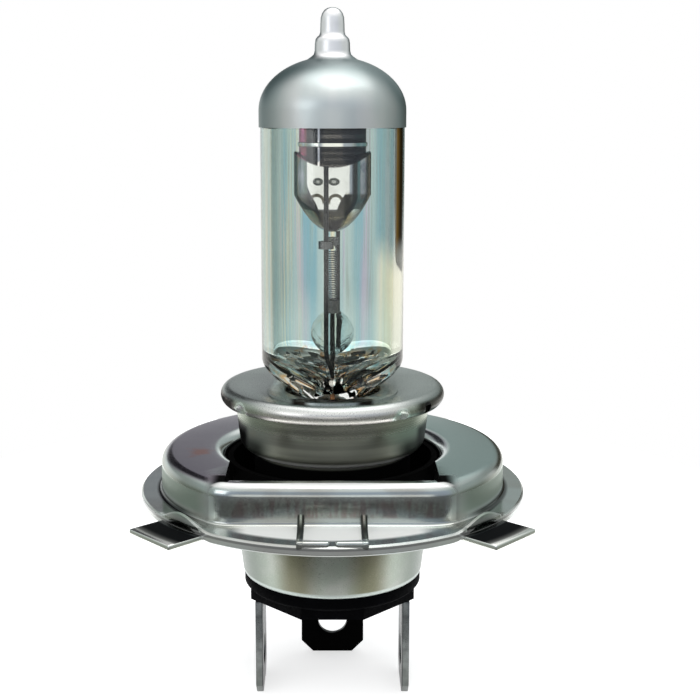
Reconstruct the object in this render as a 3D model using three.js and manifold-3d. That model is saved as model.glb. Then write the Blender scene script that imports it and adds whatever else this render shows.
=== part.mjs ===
// Two-filament halogen headlight bulb on a 43 mm three-lug prefocus cap, as separate pieces.
// Millimetres, +Z towards the glass tip. The origin is on the bulb's axis, in the plane of the
// underside of the cap's flange. The back of the filament shield faces -Y.
import * as THREE from "three";
import { mergeVertices } from "three/addons/utils/BufferGeometryUtils.js";
import Module from "manifold-3d";

const wasm = await Module();
wasm.setup();

// Radius of the cap's flange, which the other radii of cap and glass follow
const flangeRadius = 21.5;

// Sizes of the glass: tube, dome, exhaust tip and the flat pinch that seals it
const glassWall = 1.1;
const tubeLength = 26.4;
const domeRise = 5.6;
const lowerTipRadius = 1.75;
const upperTipRadius = 1.15;
const lowerTipHeight = 2.2;
const upperTipHeight = 3;
const tipShoulder = 0.5;
const shoulderHeight = 4.7;
const pinchHeight = 9.2;
const pinchSink = 1;
const cavityFloorRise = 2;
const cavitySideWall = 0.5;
const cavityEndWall = 1.8;

// Sizes of the reflective paint on the dome
const coatingThickness = 0.1;
const coatingGap = 0.03;
const coatingDepth = 1.8;

// Sizes of the wires, foils and sleeves
const leadDiameter = 0.8;
const leadOffset = 0.65;
const bendRadius = 1;
const weldGap = 0.15;
const foilWidth = 2.4;
const foilThickness = 0.12;
const foilLength = 4.4;
const foilInset = 2.6;
const sleeveWall = 0.25;
const sleeveLength = 1.4;
const clampHeight = 0.8;
const clampBar = 0.5;
const beadLift = 0.1;
const beadHeight = 4;
const beadHalfX = 2.4;
const beadLap = 1;

// Sizes of the two filaments
const filamentWire = 0.22;
const filamentPitch = 0.8;
const filamentTurns = 6;
const filamentTail = 1.3;
const highCoilRadius = 0.5;
const lowCoilRadius = 0.6;
const lowCoilY = -0.9;

// Sizes of the polished shield under the low-beam filament
const shieldSheet = 0.3;
const shieldClearance = 0.7;
const shieldIntoDome = 0.3;
const lipDip = 1.5;
const lipStep = 0.5;
const shieldWing = 0.6;

// Sizes of the plate on top of the holder cup
const plateTop = 12.2;
const plateFit = 0.1;
const plateSheet = 0.7;
const plateRimDepth = 1.9;
const plateEdgeRadius = 0.6;
const borderWidth = 1.9;
const borderRise = 0.25;
const notchAngle = 58;
const notchWidth = 0.9;
const notchHeight = 0.9;

// Sizes of the holder cup and its neck
const cupBottom = 5.1;
const cupSheet = 0.6;
const cupShoulder = 0.56;
const cupTaper = 0.35;
const cupEdgeRadius = 0.9;
const cupLipReach = 0.9;
const neckBottom = -2.4;
const stakeRadius = 0.55;
const stakeDrop = 1.1;
const stakeAngles = [-57, 47, 180];

// Sizes of the spring clip that grips the pinch inside the cup
const clipSheet = 0.4;
const clipInset = 1.4;
const clipHeight = 5.4;
const fingerShort = 0.2;
const fingerWidth = 2.6;
const fingerSpacing = 7.2;
const armWidth = 4.4;
const armRise = 3.2;
const armTab = 2;
const clipGap = 0.2;

// Sizes of the focus ring: flange, raised body, mouth, front flat and front beads
const ringSheet = 0.7;
const flangeLedge = 2.3;
const bodyTop = 5;
const bodyFold = 1.3;
const footRadius = 0.6;
const cornerBlend = 1.4;
const mouthFold = 1.2;
const mouthLipBottom = 2.6;
const windowShelf = 0.25;
const beadSpacing = 6.4;
const beadWidth = 0.7;
const beadRise = 0.5;
const beadMargin = 0.7;
const beadSplit = 0.5;
const spurWidth = 1.1;
const spurHeight = 2.6;

// Sizes of the three locating lugs and of the hoods pressed over their roots
const frontLugAngle = 46.5;
const backLugAngle = 180;
const frontLugWidth = 6.8;
const backLugWidth = 8;
const lugLength = 3.9;
const lugRootGap = 0.1;
const lugDrop = 0.35;
const hoodRise = 1.25;
const hoodHalfAngle = 12;

// Sizes of the base shell, a tapered skirt under a wider sleeve
const skirtBottom = -9.4;
const skirtTop = -0.8;
const skirtTaper = 0.85;
const sleeveBottom = 0.8;
const sleeveTop = 4;
const sleeveStep = 1;
const sleeveFit = 0.3;
const shellSheet = 0.6;

// Sizes of the insulator and the three blades
const insulatorLip = 0.1;
const insulatorDisc = 1.5;
const insulatorBoss = 1.2;
const bossStep = 0.85;
const bossCorner = 3.4;
const plugRise = 1.9;
const bladeInset = 0.9;
const backBladeStep = 0.2;
const bladeThickness = 0.8;
const sideBladeWidth = 8;
const backBladeWidth = 7.6;
const bladeBottom = -23.7;
const bladeChamfer = 1.4;
const bladeHoleRadius = 1.75;
const bladeHoleRise = 4.1;
const bladeNeckWidth = 4;
const bladeNeckShow = 1.9;
const slotGap = 0.15;

// A cut runs past both faces by this much
const overrun = 1;

// Shares of the flange's radius
const glassShare = 0.366;
const mouthShare = 0.5628;
const frontFlatShare = 0.7163;
const windowHalfShare = 0.5163;
const windowBackShare = 0.2512;

// Shares of the glass tube's radius that the pinch has, and of the pinch's width between leads
const pinchThicknessShare = 0.2668;
const pinchWidthShare = 0.8895;
const leadSpacingShare = 0.6286;

// Shares of the plate's radius that its slot takes
const slotWidthShare = 0.416;
const slotLengthShare = 0.752;

// Shares of the tube's inside that the shield fills, and of its height for bowl, lip and coil
const shieldWidthShare = 0.6204;
const shieldDepthShare = 0.5318;
const bowlHeightShare = 0.3037;
const lipMiddleShare = 0.5481;
const lowCoilShare = 0.2148;

// Shares of the way up at which the rings of a skin lie
const shoulderShares = [0.15, 0.35, 0.6, 0.85, 1];
const hollowShares = [0, 0.3, 0.65, 1];
const hollowDomeShares = [0, 0.35, 0.65, 0.88];
const bowlShares = [0.02, 0.1, 0.25, 0.5, 0.75, 1];

// Shares of the tip's radius and shoulder that shape its step and its closed end
const tipStepShare = 0.7;
const tipEaseShare = 0.25;
const tipEndShare = 0.3;
const tipEndDropShare = 0.05;

// Shares of the bead's half length, half width and height, from its bottom ring to its top one
const beadShares = [
  [0.5, 0.86, 0],
  [0.86, 0.97, 0.2],
  [1, 1, 0.5],
  [0.86, 0.97, 0.8],
  [0.5, 0.86, 1],
];

// Where the front flat's own distance stops growing, as the share that a direction points forward
const frontMostShare = 0.2;

// How square an outline is: 2 is round. The bowl closes in towards its bottom by its own powers
const pinchPower = 6;
const beadPower = 2.6;
const shieldPower = 2.5;
const bowlWidthPower = 0.6;
const bowlDepthPower = 0.35;

// Facets: round pieces, wires and coils
const roundSides = 40;
const glassSides = 32;
const ringSides = 60;
const wireSides = 8;
const bendSteps = 4;
const coilSides = 5;
const coilSteps = 8;
const beadSides = 24;
const slotSteps = 8;
const spurSides = 6;
const domeSteps = 5;

const radians = THREE.MathUtils.degToRad;
const mix = THREE.MathUtils.lerp;

// Share of a fold's radius that lies between its corner and its middle point
const soft = 1 - Math.SQRT1_2;

// Turns a closed geometry into a solid that can be joined and cut.
function solid(geometry) {
  const bare = geometry.clone();
  bare.deleteAttribute("normal");
  bare.deleteAttribute("uv");
  const merged = mergeVertices(bare, 1e-4);
  return new wasm.Manifold(
    new wasm.Mesh({
      numProp: 3,
      vertProperties: merged.attributes.position.array,
      triVerts: new Uint32Array(merged.index.array),
    }),
  );
}

// Turns a solid back into a geometry.
function geometryOf(body) {
  const mesh = body.getMesh();
  const geometry = new THREE.BufferGeometry();
  geometry.setAttribute("position", new THREE.BufferAttribute(mesh.vertProperties, 3));
  geometry.setIndex(new THREE.BufferAttribute(mesh.triVerts, 1));
  return geometry;
}

const join = (first, ...others) => others.reduce((sum, body) => sum.add(body), first);
const cut = (first, ...others) => others.reduce((rest, body) => rest.subtract(body), first);

// Skins rings of points that hold the same number of points: fans close the two ends, or the last
// ring meets the first one when the skin runs round to its start.
function loft(rings, runsRound = false) {
  const sides = rings[0].length;
  const points = rings.flat();
  const faces = [];
  const bands = runsRound ? rings.length : rings.length - 1;
  for (let band = 0; band < bands; band++) {
    const low = band * sides;
    const high = ((band + 1) % rings.length) * sides;
    for (let i = 0; i < sides; i++) {
      const next = (i + 1) % sides;
      faces.push(low + i, low + next, high + next, low + i, high + next, high + i);
    }
  }
  if (!runsRound) {
    const last = (rings.length - 1) * sides;
    const centres = [rings[0], rings[rings.length - 1]].map((ring) =>
      ring.reduce((sum, point) => sum.add(point), new THREE.Vector3()).divideScalar(sides),
    );
    points.push(...centres);
    for (let i = 0; i < sides; i++) {
      const next = (i + 1) % sides;
      faces.push(points.length - 2, next, i);
      faces.push(points.length - 1, last + i, last + next);
    }
  }
  const geometry = new THREE.BufferGeometry().setFromPoints(points);
  geometry.setIndex(faces);
  return geometry;
}

// One level ring: round where the power is 2, and nearer to a rectangle as the power grows.
function oval(halfX, halfY, z, power = 2, sides = glassSides) {
  const bulge = (value) => Math.sign(value) * Math.abs(value) ** (2 / power);
  return Array.from({ length: sides }, (_, i) => {
    const angle = (i / sides) * 2 * Math.PI;
    const x = halfX * bulge(Math.cos(angle));
    const y = halfY * bulge(Math.sin(angle));
    return new THREE.Vector3(x, y, typeof z === "function" ? z(x, y) : z);
  });
}

// Turns a closed profile of [radius, height] points about the axis.
function turned(profile, sides = roundSides) {
  const points = [...profile, profile[0]].map(([radius, z]) => new THREE.Vector2(radius, z));
  return solid(new THREE.LatheGeometry(points, sides).rotateX(Math.PI / 2));
}

// A flat outline of [x, y] points, raised from one height to another.
function prism(outline, bottom, top) {
  const shape = new THREE.Shape(outline.map(([x, y]) => new THREE.Vector2(x, y)));
  const geometry = new THREE.ExtrudeGeometry(shape, { depth: top - bottom, bevelEnabled: false });
  return geometry.translate(0, 0, bottom);
}

// A box between two corners.
function box(low, high) {
  const size = high.map((value, axis) => value - low[axis]);
  const middle = high.map((value, axis) => (value + low[axis]) / 2);
  return solid(new THREE.BoxGeometry(...size).translate(...middle));
}

// An upright round bar.
function bar(radius, x, y, bottom, top, sides = wireSides) {
  const geometry = new THREE.CylinderGeometry(radius, radius, top - bottom, sides);
  return solid(geometry.rotateX(Math.PI / 2).translate(x, y, (top + bottom) / 2));
}

// Places a geometry drawn at the front (-Y) at an angle round the axis, positive towards +X.
const aroundAxis = (geometry, degrees) => geometry.rotateZ(radians(degrees));

// Rounds the corners of a route and returns its points.
function roundedRoute(corners, radius, steps = bendSteps) {
  const route = [corners[0]];
  for (let i = 1; i < corners.length - 1; i++) {
    const corner = corners[i];
    const [start, end] = [corners[i - 1], corners[i + 1]].map((other) => {
      const share = Math.min(radius / corner.distanceTo(other), 0.5);
      return corner.clone().lerp(other, share);
    });
    route.push(...new THREE.QuadraticBezierCurve3(start, corner, end).getPoints(steps));
  }
  route.push(corners[corners.length - 1]);
  return route;
}

// A closed tube along points, its section carried from point to point without twist.
function tube(route, diameter, sides) {
  const tangents = route.map((point, i) => {
    const before = route[Math.max(i - 1, 0)];
    const after = route[Math.min(i + 1, route.length - 1)];
    return after.clone().sub(before).normalize();
  });
  const side = new THREE.Vector3(1, 0, 0);
  if (Math.abs(tangents[0].x) > 0.9) side.set(0, 1, 0);
  const rings = route.map((point, i) => {
    side.addScaledVector(tangents[i], -side.dot(tangents[i])).normalize();
    const other = tangents[i].clone().cross(side);
    return Array.from({ length: sides }, (_, k) => {
      const angle = (k / sides) * 2 * Math.PI;
      return point
        .clone()
        .addScaledVector(side, (diameter / 2) * Math.cos(angle))
        .addScaledVector(other, (diameter / 2) * Math.sin(angle));
    });
  });
  return loft(rings);
}

// A wire along corners given as [x, y, z].
function wire(corners) {
  const route = roundedRoute(corners.map((corner) => new THREE.Vector3(...corner)), bendRadius);
  return solid(tube(route, leadDiameter, wireSides));
}

// Radii of the glass and its pinch
const glassRadius = flangeRadius * glassShare;
const innerRadius = glassRadius - glassWall;
const pinchHalfThickness = glassRadius * pinchThicknessShare;
const pinchHalfWidth = glassRadius * pinchWidthShare;
const cavityFloorHalfX = pinchHalfThickness - cavitySideWall;
const cavityFloorHalfY = pinchHalfWidth - cavityEndWall;
const leadSpacing = pinchHalfWidth * leadSpacingShare;
const beadHalfY = leadSpacing + beadLap;

// Radii of the cap, from the flange inwards: ring, base shell, cup's neck, cup and plate
const bodyRadius = flangeRadius - flangeLedge;
const frontFlat = flangeRadius * frontFlatShare;
const mouthRadius = flangeRadius * mouthShare;
const windowHalfWidth = flangeRadius * windowHalfShare;
const windowBack = flangeRadius * windowBackShare;
const beadEdge = flangeRadius - beadMargin;
const lugRoot = bodyRadius + lugRootGap;
const lugReach = flangeRadius + lugLength;
const sleeveRadius = mouthRadius - sleeveFit;
const skirtTopRadius = sleeveRadius - sleeveStep;
const skirtBottomRadius = skirtTopRadius - skirtTaper;
const shellInside = (z) =>
  mix(skirtBottomRadius, skirtTopRadius, (z - skirtBottom) / (skirtTop - skirtBottom)) - shellSheet;
const neckRadius = shellInside(neckBottom) - weldGap;
const cupBottomRadius = neckRadius + cupShoulder;
const cupTopRadius = cupBottomRadius + cupTaper;
const plateRadius = cupTopRadius + cupLipReach + plateFit + plateSheet;
const slotHalfX = plateRadius * slotWidthShare;
const slotHalfY = plateRadius * slotLengthShare;

// Radii of the insulator and distances of the blades
const insulatorRadius = skirtBottomRadius + insulatorLip;
const bossHalf = insulatorRadius - bossStep;
const bladeDistance = bossHalf - bladeInset;
const backBladeDistance = bladeDistance + backBladeStep;
const bladeNeckTop = skirtBottom + plugRise + bladeNeckShow;

// Half outline of dome and tip from the tube's top, every surface moved out by grow.
function domeProfile(grow) {
  const radius = glassRadius + grow;
  const rise = domeRise + grow;
  const lower = lowerTipRadius + grow;
  const upper = upperTipRadius + grow;
  const neck = Math.acos(lower / radius);
  const profile = [];
  for (let i = 0; i <= domeSteps; i++) {
    const angle = (neck * i) / domeSteps;
    profile.push([radius * Math.cos(angle), tubeTop + rise * Math.sin(angle)]);
  }
  const foot = tubeTop + domeRise + grow;
  const top = foot + lowerTipHeight + upperTipHeight;
  profile.push([lower, foot + tipShoulder]);
  profile.push([lower, foot + lowerTipHeight - tipShoulder]);
  profile.push([mix(upper, lower, tipStepShare), foot + lowerTipHeight - tipShoulder * tipEaseShare]);
  profile.push([upper, foot + lowerTipHeight + tipShoulder * tipEaseShare]);
  profile.push([upper, top - upper]);
  profile.push([upper * Math.SQRT1_2, top - upper * soft]);
  profile.push([upper * tipEndShare, top - upper * tipEndDropShare]);
  return profile;
}

// Rises fast at first and levels off, as softened glass does from pinch to tube.
const swell = (share) => Math.sin((share * Math.PI) / 2);

// Heights, worked out upwards from the plate and the pinch
const pinchTop = plateTop - pinchSink;
const pinchBottom = pinchTop - pinchHeight;
const shoulderTop = pinchTop + shoulderHeight;
const tubeTop = shoulderTop + tubeLength;
const coatingEdge = tubeTop - coatingDepth;
const foilBottom = pinchBottom + foilInset;
const foilTop = foilBottom + foilLength;
const beadBottom = shoulderTop + beadLift;
const beadTop = beadBottom + beadHeight;
const highLeadTop = beadTop + sleeveLength / 2 + weldGap;
const coilLength = filamentTurns * filamentPitch;
const highCoilBottom = highLeadTop + weldGap + filamentTail;
const highCoilTop = highCoilBottom + coilLength;
const shieldBottom = highCoilTop + filamentTail + shieldClearance;
const shieldTop = tubeTop + shieldIntoDome;
const shieldHeight = shieldTop - shieldBottom;
const shieldLipMiddle = shieldBottom + shieldHeight * lipMiddleShare;
const shieldLipSide = shieldLipMiddle + lipDip;
const bowlHeight = shieldHeight * bowlHeightShare;
const shieldHalfWidth = innerRadius * shieldWidthShare;
const shieldDepth = innerRadius * shieldDepthShare;
const lowCoilBottom = shieldBottom + shieldHeight * lowCoilShare;
const lowCoilTop = lowCoilBottom + coilLength;

// Places where the three leads cross the pinch and the bead.
const leadPlaces = {
  common: { x: -leadOffset, y: -leadSpacing },
  high: { x: 0, y: 0 },
  low: { x: leadOffset, y: leadSpacing },
};

const leadRadius = leadDiameter / 2;
const channelRadius = leadRadius + weldGap;
const cavityFloor = pinchTop + cavityFloorRise;

// Glass: outside skin, less the hollow, less the ways that the wires and foils take in the pinch
function glassEnvelope() {
  const outside = [
    oval(pinchHalfThickness, pinchHalfWidth, pinchBottom, pinchPower),
    oval(pinchHalfThickness, pinchHalfWidth, pinchTop, pinchPower),
  ];
  for (const share of shoulderShares) {
    const part = swell(share);
    const halfX = mix(pinchHalfThickness, glassRadius, part);
    const halfY = mix(pinchHalfWidth, glassRadius, part);
    const power = mix(pinchPower, 2, Math.sqrt(part));
    outside.push(oval(halfX, halfY, mix(pinchTop, shoulderTop, share), power));
  }
  outside.push(...domeProfile(0).map(([radius, z]) => oval(radius, radius, z)));

  const inside = [];
  for (const share of hollowShares) {
    const halfX = mix(cavityFloorHalfX, innerRadius, swell(share));
    const halfY = mix(cavityFloorHalfY, innerRadius, swell(share));
    inside.push(oval(halfX, halfY, mix(cavityFloor, shoulderTop + glassWall, share)));
  }
  for (const share of hollowDomeShares) {
    const angle = (share * Math.PI) / 2;
    const radius = innerRadius * Math.cos(angle);
    inside.push(oval(radius, radius, tubeTop + (domeRise - glassWall) * Math.sin(angle)));
  }

  const ways = Object.values(leadPlaces).flatMap(({ y }) => [
    bar(channelRadius, 0, y, foilTop, cavityFloor + overrun),
    bar(channelRadius, 0, y, pinchBottom - overrun, foilBottom),
    box(
      [-foilThickness / 2 - weldGap, y - foilWidth / 2 - weldGap, foilBottom - weldGap],
      [foilThickness / 2 + weldGap, y + foilWidth / 2 + weldGap, foilTop + weldGap],
    ),
  ]);
  return cut(solid(loft(outside)), solid(loft(inside)), ...ways);
}

// Paint on dome and tip, ending in a sharp level edge on the tube
function tipCoating() {
  const innerFace = [[glassRadius + coatingGap, coatingEdge], ...domeProfile(coatingGap)];
  const grown = coatingGap + coatingThickness;
  const outerFace = [[glassRadius + grown, coatingEdge], ...domeProfile(grown)];
  const skin = (profile) => solid(loft(profile.map(([radius, z]) => oval(radius, radius, z))));
  const below = [[glassRadius + coatingGap, coatingEdge - overrun], ...innerFace];
  return cut(skin(outerFace), skin(below));
}

// Leads inside the bulb: each rises from its foil, through the bead, to what it feeds
const leadBottom = foilTop + weldGap;
const leadFlat = -shieldDepth - leadRadius - weldGap;
const bendStart = cavityFloor + bendRadius;
const lowHookEnd = lowCoilTop + filamentTail + weldGap;
const lowHookTop = lowHookEnd + 2 * bendRadius;

function commonLead() {
  const { x, y } = leadPlaces.common;
  return wire([
    [0, y, leadBottom],
    [0, y, bendStart],
    [x, y, beadBottom - weldGap],
    [x, y, beadTop + bendRadius],
    [x, leadFlat, beadTop + 3 * bendRadius],
    [x, leadFlat, shieldLipMiddle],
  ]);
}

function highBeamLead() {
  const { x, y } = leadPlaces.high;
  return wire([
    [x, y, leadBottom],
    [x, y, highLeadTop],
  ]);
}

function lowBeamLead() {
  const { x, y } = leadPlaces.low;
  return wire([
    [0, y, leadBottom],
    [0, y, bendStart],
    [x, y, beadBottom - weldGap],
    [x, y, lowHookTop],
    [0, lowCoilY, lowHookTop],
    [0, lowCoilY, lowHookEnd],
  ]);
}

// Clear bead that ties the three leads together above the pinch
function leadBead() {
  const rings = beadShares.map(([shareX, shareY, shareZ]) => {
    const z = beadBottom + beadHeight * shareZ;
    return oval(beadHalfX * shareX, beadHalfY * shareY, z, beadPower, beadSides);
  });
  const holes = Object.values(leadPlaces).map(({ x, y }) =>
    bar(channelRadius, x, y, beadBottom - overrun, beadTop + overrun),
  );
  return cut(solid(loft(rings)), ...holes);
}

// Points of a coil with a straight tail on the axis at each end
function filamentRoute(radius, x, y, bottom) {
  const route = [new THREE.Vector3(x, y, bottom - filamentTail)];
  route.push(new THREE.Vector3(x, y, bottom - filamentTail / 2));
  for (let i = 0; i <= filamentTurns * coilSteps; i++) {
    const angle = (i / coilSteps) * 2 * Math.PI;
    const z = bottom + (i / coilSteps) * filamentPitch;
    route.push(new THREE.Vector3(x + radius * Math.cos(angle), y + radius * Math.sin(angle), z));
  }
  route.push(new THREE.Vector3(x, y, bottom + coilLength + filamentTail / 2));
  route.push(new THREE.Vector3(x, y, bottom + coilLength + filamentTail));
  return route;
}

// Least clear distance between stretches of a coil that aren't neighbours along it
function leastGap(route) {
  let least = Infinity;
  for (let i = 0; i < route.length; i++) {
    for (let k = i + coilSteps / 2; k < route.length; k++) {
      least = Math.min(least, route[i].distanceTo(route[k]) - filamentWire);
    }
  }
  return least;
}

function filament(name, radius, y, bottom) {
  const route = filamentRoute(radius, 0, y, bottom);
  console.log(name + " least gap to itself, mm: " + leastGap(route).toFixed(2));
  return solid(tube(route, filamentWire, coilSides));
}

// Sleeve over the joint between a lead's end and a filament's tail
function sleeve(x, y, middle) {
  const bottom = middle - sleeveLength / 2;
  const top = middle + sleeveLength / 2;
  return cut(
    bar(channelRadius + sleeveWall, x, y, bottom, top),
    bar(channelRadius, x, y, bottom - overrun, top + overrun),
  );
}

// Clamp from a lead or a wall to a filament's tail: a bar along Y with an eye at the tail
function clampTo(tail, barStart, bottom, bores) {
  const top = bottom + clampHeight;
  const eyeRadius = channelRadius + sleeveWall;
  const [runX, runY] = [barStart.x - tail.x, barStart.y - tail.y];
  const strap = new THREE.BoxGeometry(clampBar, Math.hypot(runX, runY), clampHeight);
  strap.rotateZ(-Math.atan2(runX, runY));
  strap.translate(tail.x + runX / 2, tail.y + runY / 2, (bottom + top) / 2);
  const eyes = [tail, ...bores].map(({ x, y }) => bar(eyeRadius, x, y, bottom, top));
  const holes = [tail, ...bores].map(({ x, y }) =>
    bar(channelRadius, x, y, bottom - overrun, top + overrun),
  );
  return cut(join(solid(strap), ...eyes), ...holes);
}

const highTail = { x: 0, y: 0 };
const lowTail = { x: 0, y: lowCoilY };
const highClampBottom = highCoilTop + filamentTail / 2;
const lowClampBottom = lowCoilBottom - filamentTail;

// Shield: a stamped scoop, its front lip dipped in the middle, with a narrower half tube above it.
const bowlRise = (z) => THREE.MathUtils.clamp((z - shieldBottom) / bowlHeight, 0, 1);
const bowlWidthShare = (z) => bowlRise(z) ** bowlWidthPower;
const bowlDepthShare = (z) => bowlRise(z) ** bowlDepthPower;

function shieldBody(inset) {
  const wide = shieldHalfWidth - inset;
  const deep = shieldDepth - inset;
  const ring = (halfX, halfY, z) => oval(halfX, halfY, z, shieldPower, roundSides);
  const rings = bowlShares.map((share) => {
    const z = shieldBottom + bowlHeight * share;
    return ring(wide * bowlWidthShare(z), deep * bowlDepthShare(z), z + inset * (1 - share));
  });
  const lip = (x) => mix(shieldLipMiddle, shieldLipSide, Math.min(1, (x / shieldHalfWidth) ** 2));
  const above = (rise) => (x) => lip(x) + rise;
  rings.push(ring(wide, deep, above(inset ? -shieldSheet : 0)));
  rings.push(ring(wide - lipStep, deep - lipStep, above(inset ? 0 : shieldSheet)));
  rings.push(ring(wide - lipStep, deep - lipStep, shieldTop + (inset ? overrun : 0)));
  return solid(loft(rings));
}

function beamShield() {
  const reach = shieldHalfWidth + overrun;
  const openSide = box(
    [-reach, shieldWing, shieldBottom - overrun],
    [reach, reach, shieldTop + 2 * overrun],
  );
  return cut(shieldBody(0), shieldBody(shieldSheet), openSide);
}

// Inside face of the shield's front at a height, where the low clamp is welded
const shieldFrontInside = (z) => -(shieldDepth - shieldSheet) * bowlDepthShare(z);

// Strip sealed in the pinch between an inner lead and an outer one
function foil(y) {
  return box(
    [-foilThickness / 2, y - foilWidth / 2, foilBottom],
    [foilThickness / 2, y + foilWidth / 2, foilTop],
  );
}

// Outline of a slot with round ends along Y
function slotOutline(halfX, halfY) {
  const outline = [];
  for (const end of [1, -1]) {
    for (let i = 0; i <= slotSteps; i++) {
      const angle = (i / slotSteps) * Math.PI + (end < 0 ? Math.PI : 0);
      outline.push([halfX * Math.cos(angle), end * (halfY - halfX) + halfX * Math.sin(angle)]);
    }
  }
  return outline;
}

// Plate with a turned-down rim, a raised border round its slot, and one notch in the rim
function retainerPlate() {
  const rimBottom = plateTop - plateRimDepth;
  const edge = plateEdgeRadius;
  const disc = turned([
    [0, plateTop - plateSheet],
    [plateRadius - plateSheet, plateTop - plateSheet],
    [plateRadius - plateSheet, rimBottom],
    [plateRadius, rimBottom],
    [plateRadius, plateTop - edge],
    [plateRadius - edge * soft, plateTop - edge * soft],
    [plateRadius - edge, plateTop],
    [0, plateTop],
  ]);
  const border = prism(
    slotOutline(slotHalfX + borderWidth, slotHalfY + borderWidth),
    plateTop - plateSheet / 2,
    plateTop + borderRise,
  );
  const opening = prism(slotOutline(slotHalfX, slotHalfY), rimBottom - overrun, plateTop + overrun);
  const notch = new THREE.BoxGeometry(notchWidth, 2 * plateSheet, notchHeight);
  notch.translate(0, -plateRadius, rimBottom);
  return cut(join(disc, solid(border)), solid(opening), solid(aroundAxis(notch, notchAngle)));
}

const cupTop = plateTop - plateSheet;

// Outer radius of the holder cup's wall at a height
const cupRadiusAt = (z) => mix(cupBottomRadius, cupTopRadius, (z - cupBottom) / (cupTop - cupBottom));

// Holder cup: tapered wall with a lip under the plate, closed in to a neck at the bottom
function holderCup() {
  const round = cupEdgeRadius;
  const lip = cupTopRadius + cupLipReach;
  const cup = turned([
    [neckRadius - cupSheet, neckBottom],
    [neckRadius, neckBottom],
    [neckRadius, cupBottom],
    [cupBottomRadius - round, cupBottom],
    [cupBottomRadius - round * soft, cupBottom + round * soft],
    [cupRadiusAt(cupBottom + round), cupBottom + round],
    [cupTopRadius, cupTop - cupSheet],
    [lip, cupTop - cupSheet],
    [lip, cupTop],
    [cupTopRadius - cupSheet, cupTop],
    [cupRadiusAt(cupBottom + round) - cupSheet, cupBottom + round],
    [neckRadius - cupSheet, cupBottom + cupSheet],
  ]);
  const stakes = stakeAngles.map((angle) => {
    const height = plateTop - plateRimDepth - stakeDrop + stakeRadius / 2;
    const mark = new THREE.SphereGeometry(stakeRadius, wireSides, spurSides);
    mark.translate(0, -cupRadiusAt(height), height);
    return solid(aroundAxis(mark, angle));
  });
  return join(cup, ...stakes);
}

// Spring clip: a sleeve round the pinch, fingers up its broad faces, arms out to the cup's wall
function pinchClip() {
  const innerX = pinchHalfThickness + clipGap;
  const innerY = pinchHalfWidth + clipGap;
  const outerX = innerX + clipSheet;
  const outerY = innerY + clipSheet;
  const clipBottom = pinchBottom + clipInset;
  const clipTop = clipBottom + clipHeight;
  const fingerTop = pinchTop - fingerShort;
  const armHeight = clipBottom + armRise;
  const armHalf = armWidth / 2;
  const wall = box([-outerX, -outerY, clipBottom], [outerX, outerY, clipTop]);
  const room = box([-innerX, -innerY, clipBottom - overrun], [innerX, innerY, fingerTop + overrun]);
  const pieces = [];
  const cupInside = cupRadiusAt(armHeight) - cupSheet;
  const tabOutside = Math.sqrt(cupInside ** 2 - armHalf ** 2) - clipGap;
  for (const side of [1, -1]) {
    const plate = (nearX, farX, nearY, farY, bottom, top) => {
      const [lowX, highX] = [side * nearX, side * farX].sort((a, b) => a - b);
      pieces.push(box([lowX, nearY, bottom], [highX, farY, top]));
    };
    for (const place of [fingerSpacing / 2, -fingerSpacing / 2]) {
      const [nearY, farY] = [place - fingerWidth / 2, place + fingerWidth / 2];
      plate(innerX, outerX, nearY, farY, clipBottom, fingerTop);
    }
    const armBottom = armHeight - clipSheet;
    plate(innerX, tabOutside, -armHalf, armHalf, armBottom, armHeight);
    plate(tabOutside - clipSheet, tabOutside, -armHalf, armHalf, armBottom, armHeight + armTab);
  }
  return cut(join(wall, ...pieces), room);
}

// Distance from the axis of the focus ring's raised wall: a circle with a flat at the front
function bodyOutline(angle) {
  const flat = frontFlat / Math.max(-Math.sin(angle), frontMostShare);
  const share = THREE.MathUtils.clamp(0.5 + (flat - bodyRadius) / (2 * cornerBlend), 0, 1);
  return mix(flat, bodyRadius, share) - cornerBlend * share * (1 - share);
}

const lugs = [
  { angle: frontLugAngle, width: frontLugWidth },
  { angle: -frontLugAngle, width: frontLugWidth },
  { angle: backLugAngle, width: backLugWidth },
];

// Height that the flange is pressed up over a lug's root, most at the rim
function hoodLift(angle, radius) {
  const fromFront = THREE.MathUtils.radToDeg(angle) + 90;
  const rim = THREE.MathUtils.smoothstep(radius, lugRoot + ringSheet, flangeRadius);
  return lugs.reduce((lift, lug) => {
    const away = Math.abs(THREE.MathUtils.euclideanModulo(fromFront - lug.angle + 180, 360) - 180);
    const share = Math.min(away / hoodHalfAngle, 1);
    return lift + hoodRise * rim * Math.cos((share * Math.PI) / 2) ** 2;
  }, 0);
}

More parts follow.
